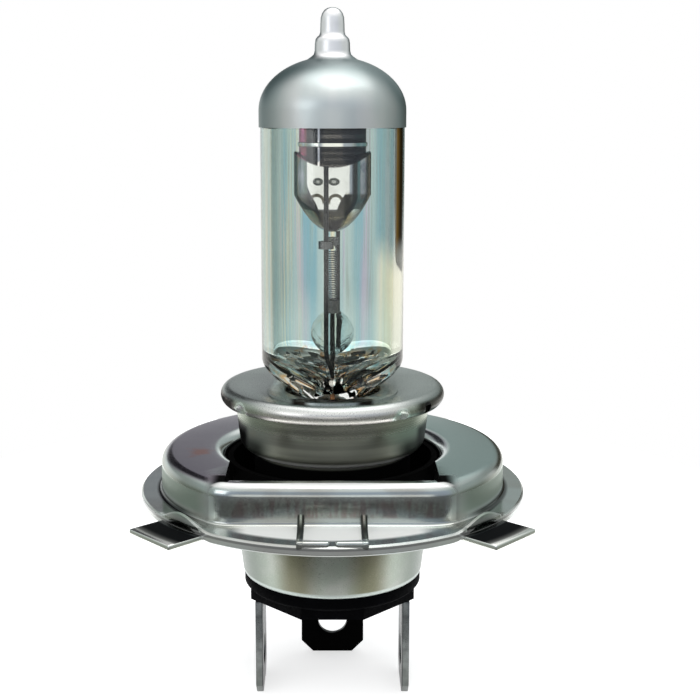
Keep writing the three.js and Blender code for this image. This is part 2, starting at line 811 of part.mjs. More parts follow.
function focusRing() {
  const flange = () => flangeRadius;
  const mouth = () => mouthRadius;
  const ledge = (angle) => (bodyOutline(angle) + footRadius + flangeRadius) / 2;
  const section = [
    [flange, 0, 0],
    [flange, 0, ringSheet],
    [ledge, 0, ringSheet],
    [bodyOutline, footRadius, ringSheet],
    [bodyOutline, footRadius * soft, ringSheet + footRadius * soft],
    [bodyOutline, 0, ringSheet + footRadius],
    [bodyOutline, 0, bodyTop - bodyFold],
    [bodyOutline, -bodyFold * soft, bodyTop - bodyFold * soft],
    [bodyOutline, -bodyFold, bodyTop],
    [mouth, mouthFold, bodyTop],
    [mouth, mouthFold * soft, bodyTop - mouthFold * soft],
    [mouth, 0, bodyTop - mouthFold],
    [mouth, 0, mouthLipBottom],
    [mouth, ringSheet, mouthLipBottom],
    [mouth, ringSheet, bodyTop - mouthFold],
    [mouth, mouthFold, bodyTop - ringSheet],
    [bodyOutline, -bodyFold, bodyTop - ringSheet],
    [bodyOutline, -ringSheet, bodyTop - bodyFold],
    [bodyOutline, -ringSheet, footRadius],
    [bodyOutline, footRadius - ringSheet, 0],
    [ledge, 0, 0],
  ];
  const rings = section.map(([outline, offset, height]) =>
    Array.from({ length: ringSides }, (_, i) => {
      const angle = (i / ringSides) * 2 * Math.PI;
      const radius = outline(angle) + offset;
      const lift = height <= ringSheet ? hoodLift(angle, radius) : 0;
      return new THREE.Vector3(radius * Math.cos(angle), radius * Math.sin(angle), height + lift);
    }),
  );
  const sheet = solid(loft(rings, true));

  const window = box(
    [-windowHalfWidth, -frontFlat + bodyFold + windowShelf, mouthLipBottom - overrun],
    [windowHalfWidth, -windowBack, bodyTop + overrun],
  );
  const lugPlates = lugs.map(({ angle, width }) => {
    const plate = new THREE.BoxGeometry(width, lugReach - lugRoot, ringSheet);
    plate.translate(0, -(lugReach + lugRoot) / 2, ringSheet / 2 - lugDrop);
    return solid(aroundAxis(plate, angle));
  });
  return join(cut(sheet, window), ...lugPlates, ...frontBeads());
}

// Raised beads on the front ledge: each runs out from the wall, turns in along the rim and stops
// short of the other, and has a thinner spur that climbs the wall
function frontBeads() {
  const sunk = ringSheet / 2;
  const top = ringSheet + beadRise;
  const inside = beadSpacing / 2 - beadWidth / 2;
  const outside = beadSpacing / 2 + beadWidth / 2;
  const start = -frontFlat + ringSheet / 2;
  const outline = [
    [inside, start],
    [outside, start],
    [outside, -beadEdge],
    [beadSplit / 2, -beadEdge],
    [beadSplit / 2, -beadEdge + beadWidth],
    [inside, -beadEdge + beadWidth],
  ];
  return [1, -1].flatMap((side) => {
    const bead = prism(outline.map(([x, y]) => [side * x, y]), sunk, top);
    const spur = new THREE.ConeGeometry(spurWidth / 2, spurHeight, spurSides);
    spur.rotateX(Math.PI / 2);
    spur.translate((side * beadSpacing) / 2, -frontFlat, sunk + spurHeight / 2);
    return [solid(bead), solid(spur)];
  });
}

// Base shell: a skirt that widens upwards and steps out to a sleeve inside the ring's mouth
function baseShell() {
  return turned([
    [skirtBottomRadius - shellSheet, skirtBottom],
    [skirtBottomRadius, skirtBottom],
    [skirtTopRadius, skirtTop],
    [sleeveRadius, sleeveBottom],
    [sleeveRadius, sleeveTop],
    [sleeveRadius - shellSheet, sleeveTop],
    [sleeveRadius - shellSheet, sleeveBottom + shellSheet / 2],
    [skirtTopRadius - shellSheet, skirtTop + shellSheet / 2],
  ]);
}

// The three blades: distance from the axis, width, and turn from the left side
const insulatorBottom = skirtBottom - insulatorDisc - insulatorBoss;
const blades = {
  common_terminal: { distance: bladeDistance, width: sideBladeWidth, turn: 180 },
  high_beam_terminal: { distance: bladeDistance, width: sideBladeWidth, turn: 0 },
  low_beam_terminal: { distance: backBladeDistance, width: backBladeWidth, turn: 90 },
};

// Insulator: disc under the shell, plug inside it, eight-sided boss, one slot for each blade
function insulator() {
  const discBottom = skirtBottom - insulatorDisc;
  const plugRadius = bladeDistance - bladeThickness / 2 - 2 * slotGap;
  const body = turned([
    [0, discBottom],
    [insulatorRadius, discBottom],
    [insulatorRadius, skirtBottom],
    [plugRadius, skirtBottom],
    [plugRadius, skirtBottom + plugRise],
    [0, skirtBottom + plugRise],
  ]);
  const corner = [
    [bossHalf, -bossCorner],
    [bossHalf, bossCorner],
    [bossCorner, bossHalf],
    [-bossCorner, bossHalf],
  ];
  const outline = [...corner, ...corner.map(([x, y]) => [-x, -y])];
  const boss = solid(prism(outline, insulatorBottom, discBottom + insulatorDisc / 2));
  const slots = Object.values(blades).map(({ distance, turn }) => {
    const size = [bladeThickness + 2 * slotGap, bladeNeckWidth + 2 * slotGap];
    const height = skirtBottom + plugRise - insulatorBottom + 2 * overrun;
    const slot = new THREE.BoxGeometry(...size, height);
    slot.translate(distance, 0, (skirtBottom + plugRise + insulatorBottom) / 2);
    return solid(aroundAxis(slot, turn));
  });
  return cut(join(body, boss), ...slots);
}

// Blade: chamfered foot with a round hole, shoulders under the insulator, neck up through its slot
function terminal({ distance, width, turn }) {
  const shoulder = insulatorBottom - weldGap;
  const half = width / 2;
  const neck = bladeNeckWidth / 2;
  const shape = new THREE.Shape(
    [
      [-half, bladeBottom + bladeChamfer],
      [-half + bladeChamfer, bladeBottom],
      [half - bladeChamfer, bladeBottom],
      [half, bladeBottom + bladeChamfer],
      [half, shoulder],
      [neck, shoulder],
      [neck, bladeNeckTop],
      [-neck, bladeNeckTop],
      [-neck, shoulder],
      [-half, shoulder],
    ].map(([y, z]) => new THREE.Vector2(y, z)),
  );
  const hole = new THREE.Path();
  hole.absarc(0, bladeBottom + bladeHoleRise, bladeHoleRadius, 0, 2 * Math.PI);
  shape.holes.push(hole);
  const plate = new THREE.ExtrudeGeometry(shape, { depth: bladeThickness, bevelEnabled: false });
  const [acrossY, upZ, outX] = [[0, 1, 0], [0, 0, 1], [1, 0, 0]].map((to) => new THREE.Vector3(...to));
  plate.applyMatrix4(new THREE.Matrix4().makeBasis(acrossY, upZ, outX));
  plate.translate(distance - bladeThickness / 2, 0, 0);
  return solid(aroundAxis(plate, turn));
}

// Wire from a foil's lower end down to the inner face of its blade's neck
function outerLead(place, { distance, turn }) {
  const beside = distance - bladeThickness / 2 - weldGap - leadRadius;
  const foot = [beside * Math.cos(radians(turn)), beside * Math.sin(radians(turn))];
  const drop = bladeNeckTop + bendRadius;
  return wire([
    [0, place.y, foilBottom - weldGap],
    [0, place.y, pinchBottom - bendRadius],
    [...foot, drop],
    [...foot, skirtBottom + plugRise + weldGap],
  ]);
}

// Colours and finishes of the pieces
const finish = (color, roughness, metalness, more = {}) => () =>
  new THREE.MeshStandardMaterial({ color, roughness, metalness, ...more });
const clearGlass = finish(0xdfe9e8, 0.05, 0, { transparent: true, opacity: 0.3 });
const silverPaint = finish(0xb4bab8, 0.35, 0.6);
const darkWire = finish(0x3a3a3c, 0.4, 0.9);
const polished = finish(0xb8b4ac, 0.15, 1);
const tungsten = finish(0x5a5a5e, 0.5, 0.9);
const foilMetal = finish(0x9a8a74, 0.3, 0.9);
const zincSteel = finish(0xa3a69e, 0.35, 0.9);
const mattSteel = finish(0x85888a, 0.55, 0.8);
const blackPlastic = finish(0x0c0c0d, 0.5, 0);
const bladeMetal = finish(0x9aa09a, 0.35, 0.9);

const { common, high, low } = leadPlaces;
const pieces = {
  glass_envelope: [glassEnvelope(), clearGlass],
  tip_coating: [tipCoating(), silverPaint],
  common_lead: [commonLead(), darkWire],
  high_beam_lead: [highBeamLead(), darkWire],
  low_beam_lead: [lowBeamLead(), darkWire],
  lead_bead: [leadBead(), clearGlass],
  beam_shield: [beamShield(), polished],
  high_beam_filament: [filament("high_beam_filament", highCoilRadius, 0, highCoilBottom), tungsten],
  low_beam_filament: [filament("low_beam_filament", lowCoilRadius, lowCoilY, lowCoilBottom), tungsten],
  high_filament_sleeve: [sleeve(0, 0, highLeadTop), foilMetal],
  low_filament_sleeve: [sleeve(0, lowCoilY, lowHookEnd), foilMetal],
  high_filament_clamp: [
    clampTo(highTail, { x: common.x, y: leadFlat }, highClampBottom, [{ x: common.x, y: leadFlat }]),
    foilMetal,
  ],
  low_filament_clamp: [
    clampTo(lowTail, { x: 0, y: shieldFrontInside(lowClampBottom) + clipGap }, lowClampBottom, []),
    foilMetal,
  ],
  common_foil: [foil(common.y), foilMetal],
  high_beam_foil: [foil(high.y), foilMetal],
  low_beam_foil: [foil(low.y), foilMetal],
  common_outer_lead: [outerLead(common, blades.common_terminal), foilMetal],
  high_beam_outer_lead: [outerLead(high, blades.high_beam_terminal), foilMetal],
  low_beam_outer_lead: [outerLead(low, blades.low_beam_terminal), foilMetal],
  pinch_clip: [pinchClip(), zincSteel],
  retainer_plate: [retainerPlate(), mattSteel],
  holder_cup: [holderCup(), zincSteel],
  focus_ring: [focusRing(), zincSteel],
  base_shell: [baseShell(), zincSteel],
  insulator: [insulator(), blackPlastic],
  common_terminal: [terminal(blades.common_terminal), bladeMetal],
  high_beam_terminal: [terminal(blades.high_beam_terminal), bladeMetal],
  low_beam_terminal: [terminal(blades.low_beam_terminal), bladeMetal],
};

const bulb = new THREE.Group();
for (const [name, [body, material]] of Object.entries(pieces)) {
  const mesh = new THREE.Mesh(geometryOf(body), material());
  mesh.name = name;
  bulb.add(mesh);
}

export default bulb;
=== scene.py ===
"""Dresses the headlight bulb's CAD model: glass, painted tip, shield, wires, steel cap and blades."""

import math

import bmesh
import bpy
from bpy.props import FloatProperty, FloatVectorProperty, IntProperty, PointerProperty
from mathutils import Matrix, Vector


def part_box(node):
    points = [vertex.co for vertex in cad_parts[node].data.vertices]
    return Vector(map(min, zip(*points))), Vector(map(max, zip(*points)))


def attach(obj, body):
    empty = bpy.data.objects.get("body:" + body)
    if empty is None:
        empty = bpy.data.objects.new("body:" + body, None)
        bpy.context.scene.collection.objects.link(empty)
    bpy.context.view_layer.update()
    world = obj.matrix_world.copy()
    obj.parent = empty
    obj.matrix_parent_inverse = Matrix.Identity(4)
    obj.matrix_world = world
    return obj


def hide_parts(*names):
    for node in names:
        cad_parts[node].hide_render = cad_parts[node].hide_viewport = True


bl_info = {
    "name": "Headlight Bulb",
    "version": (1, 0, 0),
    "blender": (4, 5, 0),
    "location": "3D View > Sidebar > Bulb",
    "description": "Models and finishes the pieces of a two-filament headlight bulb",
    "category": "Object",
}

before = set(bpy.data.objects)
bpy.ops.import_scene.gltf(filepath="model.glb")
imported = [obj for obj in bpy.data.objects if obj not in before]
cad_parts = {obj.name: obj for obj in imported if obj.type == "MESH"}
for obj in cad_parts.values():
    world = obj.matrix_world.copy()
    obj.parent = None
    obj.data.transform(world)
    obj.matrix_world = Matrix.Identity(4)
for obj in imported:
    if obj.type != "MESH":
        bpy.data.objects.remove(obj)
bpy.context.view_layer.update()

MM = 0.001
BODY = "root"


def low(node):
    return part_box(node)[0]


def high(node):
    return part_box(node)[1]


# Heights and radii that the pieces take from the CAD model
GLASS_RADIUS = high("glass_envelope").x
GLASS_FOOT = low("glass_envelope").z
GLASS_TIP = high("glass_envelope").z
FLANGE_RADIUS = high("focus_ring").x
RING_TOP = high("focus_ring").z
PLATE_RADIUS = high("retainer_plate").x
BORDER_RISE = 0.25 * MM
PLATE_TOP = high("retainer_plate").z - BORDER_RISE
FLOOR = low("common_terminal").z

# Heights along the glass: pinch, shoulder, tube and dome
PINCH_TOP = PLATE_TOP - 1.0 * MM
SHOULDER_TOP = PINCH_TOP + 3.9 * MM
TUBE_TOP = SHOULDER_TOP + 27.2 * MM
DOME_RISE = 5.6 * MM

# How far the middle of the shield's lip dips below its sides, and half the shield's width
LIP_DIP = 1.5 * MM
SHIELD_HALF = 4.2 * MM


def colour_property(name, description, default):
    return FloatVectorProperty(
        name=name, description=description, default=default, size=3, subtype="COLOR", min=0, max=1
    )


def length_property(name, description, default):
    return FloatProperty(
        name=name, description=description, default=default, unit="LENGTH", precision=5, min=0
    )


class GlassSettings(bpy.types.PropertyGroup):
    """The clear tube, its bead and the painted tip."""

    radius: length_property("Tube radius", "Outside radius of the glass tube", GLASS_RADIUS)
    wall: length_property("Wall", "Thickness of the glass", 1.1 * MM)
    pinch_half_thickness: length_property("Pinch half thickness", "Half the pinch, left to right", 2.1 * MM)
    pinch_half_width: length_property("Pinch half width", "Half the pinch, front to back", 7.0 * MM)
    coating: length_property("Coating", "Thickness of the paint on the tip", 0.1 * MM)
    coating_depth: length_property("Coating depth", "Paint below the dome's foot", 1.8 * MM)
    clear: colour_property("Clear glass", "Colour of the glass between its streaks", (0.48, 0.6, 0.57))
    cool: colour_property("Cool streak", "Colour of the bluish streaks in the glass", (0.26, 0.47, 0.53))
    warm: colour_property("Warm streak", "Colour of the yellowish streaks in the glass", (0.72, 0.69, 0.5))
    silver: colour_property("Silver paint", "Light colour of the painted tip", (0.73, 0.75, 0.735))
    shade: colour_property("Silver shade", "Darker clouds in the painted tip", (0.62, 0.68, 0.67))


class InsideSettings(bpy.types.PropertyGroup):
    """Wires, filaments and the shield inside the tube."""

    wire: length_property("Lead diameter", "Diameter of the leads", 0.5 * MM)
    bend: length_property("Lead bend", "Radius at which a lead bends", 1.0 * MM)
    coil_wire: length_property("Filament wire", "Diameter of the filament's wire", 0.16 * MM)
    coil_turns: IntProperty(name="Filament turns", description="Turns of each coil", default=22, min=3)
    sheet: length_property("Shield sheet", "Thickness of the shield", 0.3 * MM)
    lead: colour_property("Leads", "Colour of the leads", (0.05, 0.05, 0.045))
    shield: colour_property("Shield", "Colour of the polished shield", (0.8, 0.8, 0.77))


class CapSettings(bpy.types.PropertyGroup):
    """Plate, cup, focus ring and base shell."""

    ring_sheet: length_property("Ring sheet", "Thickness of the focus ring", 0.7 * MM)
    plate_sheet: length_property("Plate sheet", "Thickness of the plate", 0.7 * MM)
    cup_sheet: length_property("Cup sheet", "Thickness of the holder cup", 0.6 * MM)
    fold: length_property("Ring fold", "Radius of the ring's upper fold", 1.3 * MM)
    steel: colour_property("Steel", "Colour of the plated steel", (0.52, 0.57, 0.55))
    stain: colour_property("Steel stain", "Darker cast in the plating", (0.43, 0.44, 0.41))
    cup: colour_property("Cup steel", "Colour of the brushed holder cup", (0.46, 0.47, 0.39))
    shell: colour_property("Shell steel", "Colour of the paler base shell", (0.34, 0.38, 0.33))
    matt: colour_property("Matt plate", "Colour of the matt plate", (0.35, 0.39, 0.37))


class BaseSettings(bpy.types.PropertyGroup):
    """Insulator and blades."""

    blade: length_property("Blade thickness", "Thickness of the blades", 0.8 * MM)
    hole: length_property("Blade hole", "Radius of the hole in each blade", 1.75 * MM)
    plastic: colour_property("Insulator", "Colour of the moulded insulator", (0.0015, 0.0015, 0.002))
    plated: colour_property("Blades", "Colour of the plated blades", (0.22, 0.235, 0.23))


class StageSettings(bpy.types.PropertyGroup):
    """Camera, floor and light."""

    lens: FloatProperty(name="Lens", description="Focal length in millimetres", default=63.16)
    shift_x: FloatProperty(name="Shift right", description="Sideways shift of the view", default=0.0251)
    shift_y: FloatProperty(name="Shift up", description="Upward shift of the view", default=-0.047)
    distance: length_property("Distance", "Camera in front of the bulb's axis", 134.8 * MM)
    height: length_property("Height", "Camera above the flange", 42.6 * MM)
    pitch: FloatProperty(
        name="Pitch", description="Camera's tilt down", default=math.radians(9.68), subtype="ANGLE"
    )
    floor: colour_property("Floor", "Colour of the table", (0.9, 0.9, 0.9))
    table_radius: length_property("Floor radius", "Radius of the table", 75 * MM)
    glow: FloatProperty(name="Floor glow", description="Light the table gives the camera", default=0.62)
    key: FloatProperty(name="Key lamp", description="Power of the lamp above, in watts", default=1.0)
    fill: FloatProperty(name="Fill lamp", description="Power of the lamp at the left, in watts", default=0.2)


# ---- modelling helpers ----


def start():
    """Leaves nothing selected, ready for the next primitive."""
    if bpy.context.object and bpy.context.object.mode != "OBJECT":
        bpy.ops.object.mode_set(mode="OBJECT")
    bpy.ops.object.select_all(action="DESELECT")


def pick(piece):
    """Selects one piece and makes it the active one."""
    start()
    piece.select_set(True)
    bpy.context.view_layer.objects.active = piece


def settle():
    """Applies the place, turn and size of the active piece to its mesh."""
    bpy.ops.object.transform_apply(location=True, rotation=True, scale=True)


def named(name):
    piece = bpy.context.object
    piece.name = piece.data.name = name
    return piece


def edit(piece):
    bpy.context.view_layer.objects.active = piece
    bpy.ops.object.mode_set(mode="EDIT")


def leave_edit():
    """Turns all faces outwards and goes back to object mode."""
    bpy.ops.mesh.select_all(action="SELECT")
    bpy.ops.mesh.normals_make_consistent(inside=False)
    bpy.ops.object.mode_set(mode="OBJECT")


def select(piece, kind, chosen):
    """In edit mode, selects the verts, edges or faces that chosen is true for, and nothing else."""
    bpy.ops.mesh.select_mode(type={"verts": "VERT", "edges": "EDGE", "faces": "FACE"}[kind])
    bpy.ops.mesh.select_all(action="DESELECT")
    mesh = bmesh.from_edit_mesh(piece.data)
    for item in getattr(mesh, kind):
        if chosen(item):
            item.select_set(True)
    mesh.select_flush_mode()
    bmesh.update_edit_mesh(piece.data)


def place_loop(piece, radius, height):
    """Moves the selected loop to a radius and height, each a length or a function of the angle."""
    mesh = bmesh.from_edit_mesh(piece.data)
    for vertex in mesh.verts:
        if vertex.select:
            angle = math.atan2(vertex.co.y, vertex.co.x)
            r = radius(angle) if callable(radius) else radius
            z = height(angle, r) if callable(height) else height
            vertex.co = (r * math.cos(angle), r * math.sin(angle), z)
    bmesh.update_edit_mesh(piece.data)


def loops(name, rows, sides=128, ends="open"):
    """Extrudes a circle through rows of (radius, height). Ends are open, closed, or joined in a ring."""
    start()
    bpy.ops.mesh.primitive_circle_add(vertices=sides, radius=1)
    piece = named(name)
    edit(piece)
    bpy.ops.mesh.select_all(action="SELECT")
    place_loop(piece, *rows[0])
    for row in rows[1:]:
        bpy.ops.mesh.extrude_region_move()
        place_loop(piece, *row)
    if ends == "joined":
        bpy.ops.mesh.extrude_region_move()
        place_loop(piece, *rows[0])
        bpy.ops.mesh.select_all(action="SELECT")
        bpy.ops.mesh.remove_doubles(threshold=0.001 * MM)
    if ends == "closed":
        bpy.ops.mesh.edge_face_add()
        select(piece, "verts", lambda vertex: vertex.index < sides)
        bpy.ops.mesh.edge_face_add()
    leave_edit()
    return piece


def apply_modifier(piece, kind, **settings):
    bpy.context.view_layer.objects.active = piece
    bpy.ops.object.modifier_add(type=kind)
    modifier = piece.modifiers[-1]
    for key, value in settings.items():
        setattr(modifier, key, value)
    bpy.ops.object.modifier_apply(modifier=modifier.name)


def combine(piece, other, operation):
    """Boolean with another piece, which is used up."""
    apply_modifier(piece, "BOOLEAN", object=other, operation=operation, solver="EXACT")
    bpy.data.objects.remove(other)


def soften(piece, width, segments=2, angle=40):
    apply_modifier(
        piece,
        "BEVEL",
        width=width,
        segments=segments,
        limit_method="ANGLE",
        angle_limit=math.radians(angle),
        use_clamp_overlap=True,
    )


def join(piece, *others):
    """Joins pieces into one mesh."""
    pick(piece)
    for other in others:
        other.select_set(True)
    bpy.ops.object.join()
    return piece


def block(name, corner, opposite):
    """A box between two corners."""
    start()
    size = [b - a for a, b in zip(corner, opposite)]
    middle = [(a + b) / 2 for a, b in zip(corner, opposite)]
    bpy.ops.mesh.primitive_cube_add(size=1, location=middle, scale=size)
    settle()
    return named(name)


def turn(piece, degrees):
    """Turns a piece drawn at the front round the axis, positive towards the right."""
    pick(piece)
    piece.rotation_euler.z = math.radians(degrees)
    settle()
    return piece


def moved(piece, x):
    """Moves a piece sideways."""
    pick(piece)
    piece.location.x = x
    settle()
    return piece


def upright(edge):
    return abs(edge.verts[0].co.z - edge.verts[1].co.z) > 0.1 * MM


def stadium(name, half_x, half_y, bottom, top):
    """A block with round ends along Y."""
    piece = block(name, (-half_x, -half_y, bottom), (half_x, half_y, top))
    edit(piece)
    select(piece, "edges", upright)
    bpy.ops.mesh.bevel(offset=half_x * 0.999, segments=24, affect="EDGES")
    bpy.ops.object.mode_set(mode="OBJECT")
    return piece


def slab(name, outline, thickness):
    """A block with the given outline in Y and Z, centred on X."""
    start()
    bpy.ops.mesh.primitive_circle_add(vertices=len(outline), radius=1, fill_type="NGON")
    piece = named(name)
    for vertex, (y, z) in zip(piece.data.vertices, outline):
        vertex.co = (-thickness / 2, y, z)
    edit(piece)
    bpy.ops.mesh.select_all(action="SELECT")
    bpy.ops.mesh.extrude_region_move(TRANSFORM_OT_translate={"value": (thickness, 0, 0)})
    leave_edit()
    return piece


def wire(name, points, diameter, sides=12, rounding=None):
    """A round wire along points."""
    route = [Vector(point) for point in points]
    if rounding:
        route = rounded(route, rounding)
    start()
    bpy.ops.curve.primitive_nurbs_path_add()
    piece = named(name)
    curve = piece.data
    curve.splines.clear()
    spline = curve.splines.new("POLY")
    spline.points.add(len(route) - 1)
    for point, place in zip(spline.points, route):
        point.co = (*place, 1)
    curve.dimensions = "3D"
    curve.bevel_depth = diameter / 2
    curve.bevel_resolution = sides // 4 - 1
    curve.use_fill_caps = True
    bpy.ops.object.convert(target="MESH")
    piece = named(name)
    edit(piece)
    bpy.ops.mesh.select_all(action="SELECT")
    bpy.ops.mesh.remove_doubles(threshold=0.001 * MM)
    leave_edit()
    return piece


def rounded(route, radius, steps=6):
    """The route with its corners rounded."""
    points = [route[0]]
    for before, corner, after in zip(route, route[1:], route[2:]):
        enter = corner.lerp(before, min(radius / (corner - before).length, 0.5))
        leave = corner.lerp(after, min(radius / (corner - after).length, 0.5))
        for i in range(steps + 1):
            t = i / steps
            points.append(enter * (1 - t) ** 2 + corner * 2 * t * (1 - t) + leave * t**2)
    points.append(route[-1])
    return points


def finish_piece(piece, material, nodes, smooth=35):
    """Shades a piece, gives it its material, hangs it under the body's empty and hides the nodes it stands in
    for.
    """
    pick(piece)
    bpy.ops.object.shade_smooth_by_angle(angle=math.radians(smooth))
    piece.data.materials.clear()
    piece.data.materials.append(material)
    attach(piece, BODY)
    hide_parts(*nodes)


def dress(node, material):
    """Gives a CAD node that keeps its shape a material."""
    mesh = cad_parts[node].data
    if not mesh.materials:
        mesh.materials.append(material)
    for i in range(len(mesh.materials)):
        mesh.materials[i] = material


def mix(a, b, share):
    return a + (b - a) * share


def quarter(steps, first=0):
    """Sine and cosine at even steps of a quarter turn."""
    for i in range(first, steps + 1):
        angle = math.pi / 2 * i / steps
        yield math.sin(angle), math.cos(angle)


def oval(half_x, half_y, power=2.0):
    """Radius of an oval outline at an angle: round at power 2, nearer to a rectangle above it."""

    def radius(angle):
        x = abs(math.cos(angle)) / half_x
        y = abs(math.sin(angle)) / half_y
        return (x**power + y**power) ** (-1 / power)

    return radius


# ---- materials ----


class Tree:
    """The nodes of a material or the world, made and joined in few words."""

    def __init__(self, name, world=None):
        self.material = world or bpy.data.materials.get(name) or bpy.data.materials.new(name)
        self.material.use_nodes = True
        self.nodes = self.material.node_tree.nodes
        self.links = self.material.node_tree.links
        self.shader = self.nodes.get("Principled BSDF")
        self.measures = {}

    def paint(self, colour, *coats):
        """Lays coats of (share, colour) over a colour, one after the other."""
        for share, coat in coats:
            colour = self.blend(share, colour, coat)
        return colour

    def add(self, kind, inputs=None, **settings):
        node = self.nodes.new("ShaderNode" + kind)
        for key, value in settings.items():
            setattr(node, key, value)
        for key, value in (inputs or {}).items():
            if isinstance(value, bpy.types.NodeSocket):
                self.links.new(value, node.inputs[key])
            else:
                node.inputs[key].default_value = value
        return node

    def set(self, **values):
        """Sets the shader's own sockets, or links what is a socket, by names with _ for spaces."""
        for key, value in values.items():
            socket = self.shader.inputs[key.replace("_", " ")]
            if isinstance(value, bpy.types.NodeSocket):
                self.links.new(value, socket)
            elif hasattr(value, "__len__") and len(value) == 3:
                socket.default_value = (*value, 1)
            else:
                socket.default_value = value

    def place(self):
        return self.add("TexCoord").outputs["Object"]

    def direction(self):
        """Where a ray of the world points."""
        return self.add("TexCoord").outputs["Generated"]

    def flat_place(self):
        """(x, y, 0) on the piece."""
        split = self.add("SeparateXYZ", {"Vector": self.place()})
        return self.add("CombineXYZ", {"X": split.outputs["X"], "Y": split.outputs["Y"]}).outputs["Vector"]

    def height(self):
        return self.add("SeparateXYZ", {"Vector": self.place()}).outputs["Z"]

    def round_lines(self):
        """A place that changes with radius and height only, for lines that run round the axis."""
        radius = self.add("VectorMath", {0: self.flat_place()}, operation="LENGTH").outputs["Value"]
        return self.add("CombineXYZ", {"X": radius, "Z": self.height()}).outputs["Vector"]

    def upright_lines(self, stretch=0.02):
        """A place that changes mostly with the angle, for streaks that run up a turned piece."""
        around = self.add("VectorMath", {0: self.flat_place()}, operation="NORMALIZE").outputs["Vector"]
        rise = self.add("Math", {0: self.height(), 1: stretch / MM}, operation="MULTIPLY").outputs["Value"]
        lift = self.add("CombineXYZ", {"Z": rise}).outputs["Vector"]
        return self.add("VectorMath", {0: around, 1: lift}, operation="ADD").outputs["Vector"]

    def noise(self, place, scale, detail=3.0, roughness=0.55, distortion=0.0):
        inputs = {
            "Vector": place,
            "Scale": scale,
            "Detail": detail,
            "Roughness": roughness,
            "Distortion": distortion,
        }
        return self.add("TexNoise", inputs).outputs["Fac"]

    def spread(self, value, start, end, low=0.0, high=1.0):
        inputs = {"Value": value, "From Min": start, "From Max": end, "To Min": low, "To Max": high}
        return self.add("MapRange", inputs, interpolation_type="SMOOTHSTEP").outputs["Result"]

    def blend(self, share, first, second, mode="MIX"):
        node = self.add("Mix", {}, data_type="RGBA", blend_type=mode)
        for index, value in ((0, share), (6, first), (7, second)):
            if isinstance(value, bpy.types.NodeSocket):
                self.links.new(value, node.inputs[index])
            elif index:
                node.inputs[index].default_value = (*value, 1)
            else:
                node.inputs[index].default_value = value
        return node.outputs[2]

    def math(self, operation, first, second):
        return self.add("Math", {0: first, 1: second}, operation=operation).outputs["Value"]

    def product(self, *values):
        result = values[0]
        for value in values[1:]:
            result = self.math("MULTIPLY", result, value)
        return result

    def most(self, *values):
        result = values[0]
        for value in values[1:]:
            result = self.math("MAXIMUM", result, value)
        return result

    def rest(self, value):
        """What is left of 1."""
        return self.math("SUBTRACT", 1.0, value)

    def absolute(self, value):
        return self.math("ABSOLUTE", value, 0.0)

    def apart(self, middle, place=None):
        """Distance from a point."""
        inputs = {0: place or self.place(), 1: middle}
        return self.add("VectorMath", inputs, operation="DISTANCE").outputs["Value"]

    def measure(self, name):
        """x, y or height on the piece, wide for x without its sign, or away for the distance from the axis."""
        if not self.measures:
            x, y, height = self.axes()
            self.measures = {"x": x, "y": y, "height": height, "wide": self.absolute(x), "away": self.away()}
        return self.measures[name]

    def bounded(self, values, ranges):
        """1 where each value lies past its bounds, which are pairs of the start and end of a smooth step."""
        steps = []
        for name, bounds in ranges.items():
            for start_at, end_at in zip(bounds[::2], bounds[1::2]):
                steps.append(self.spread(values[name], start_at, end_at))
        return self.product(*steps)

    def zone(self, up=0.0, **ranges):
        """A place on the piece by the bounds of its measures in mm, with heights counted from up."""
        values, shifted = {}, {}
        for name, bounds in ranges.items():
            base = up if name == "height" else 0.0
            values[name] = self.measure(name)
            shifted[name] = [base + bound * MM for bound in bounds]
        return self.bounded(values, shifted)

    def facing(self, blend=0.5):
        """0 where the surface faces the eye, 1 where it turns away."""
        return self.add("LayerWeight", {"Blend": blend}).outputs["Facing"]

    def axes(self):
        split = self.add("SeparateXYZ", {"Vector": self.place()})
        return split.outputs["X"], split.outputs["Y"], split.outputs["Z"]

    def away(self):
        """Distance from the axis."""
        return self.add("VectorMath", {0: self.flat_place()}, operation="LENGTH").outputs["Value"]

    def ramp(self, value, stops):
        """A colour that changes along value through stops of (position, colour)."""
        node = self.add("ValToRGB", {"Fac": value})
        elements = node.color_ramp.elements
        while len(elements) < len(stops):
            elements.new(0.5)
        for element, (position, colour) in zip(elements, stops):
            element.position = position
            element.color = (*colour, 1)
        return node.outputs["Color"]

    def bump(self, height, strength, distance):
        inputs = {"Height": height, "Strength": strength, "Distance": distance}
        return self.add("Bump", inputs).outputs["Normal"]


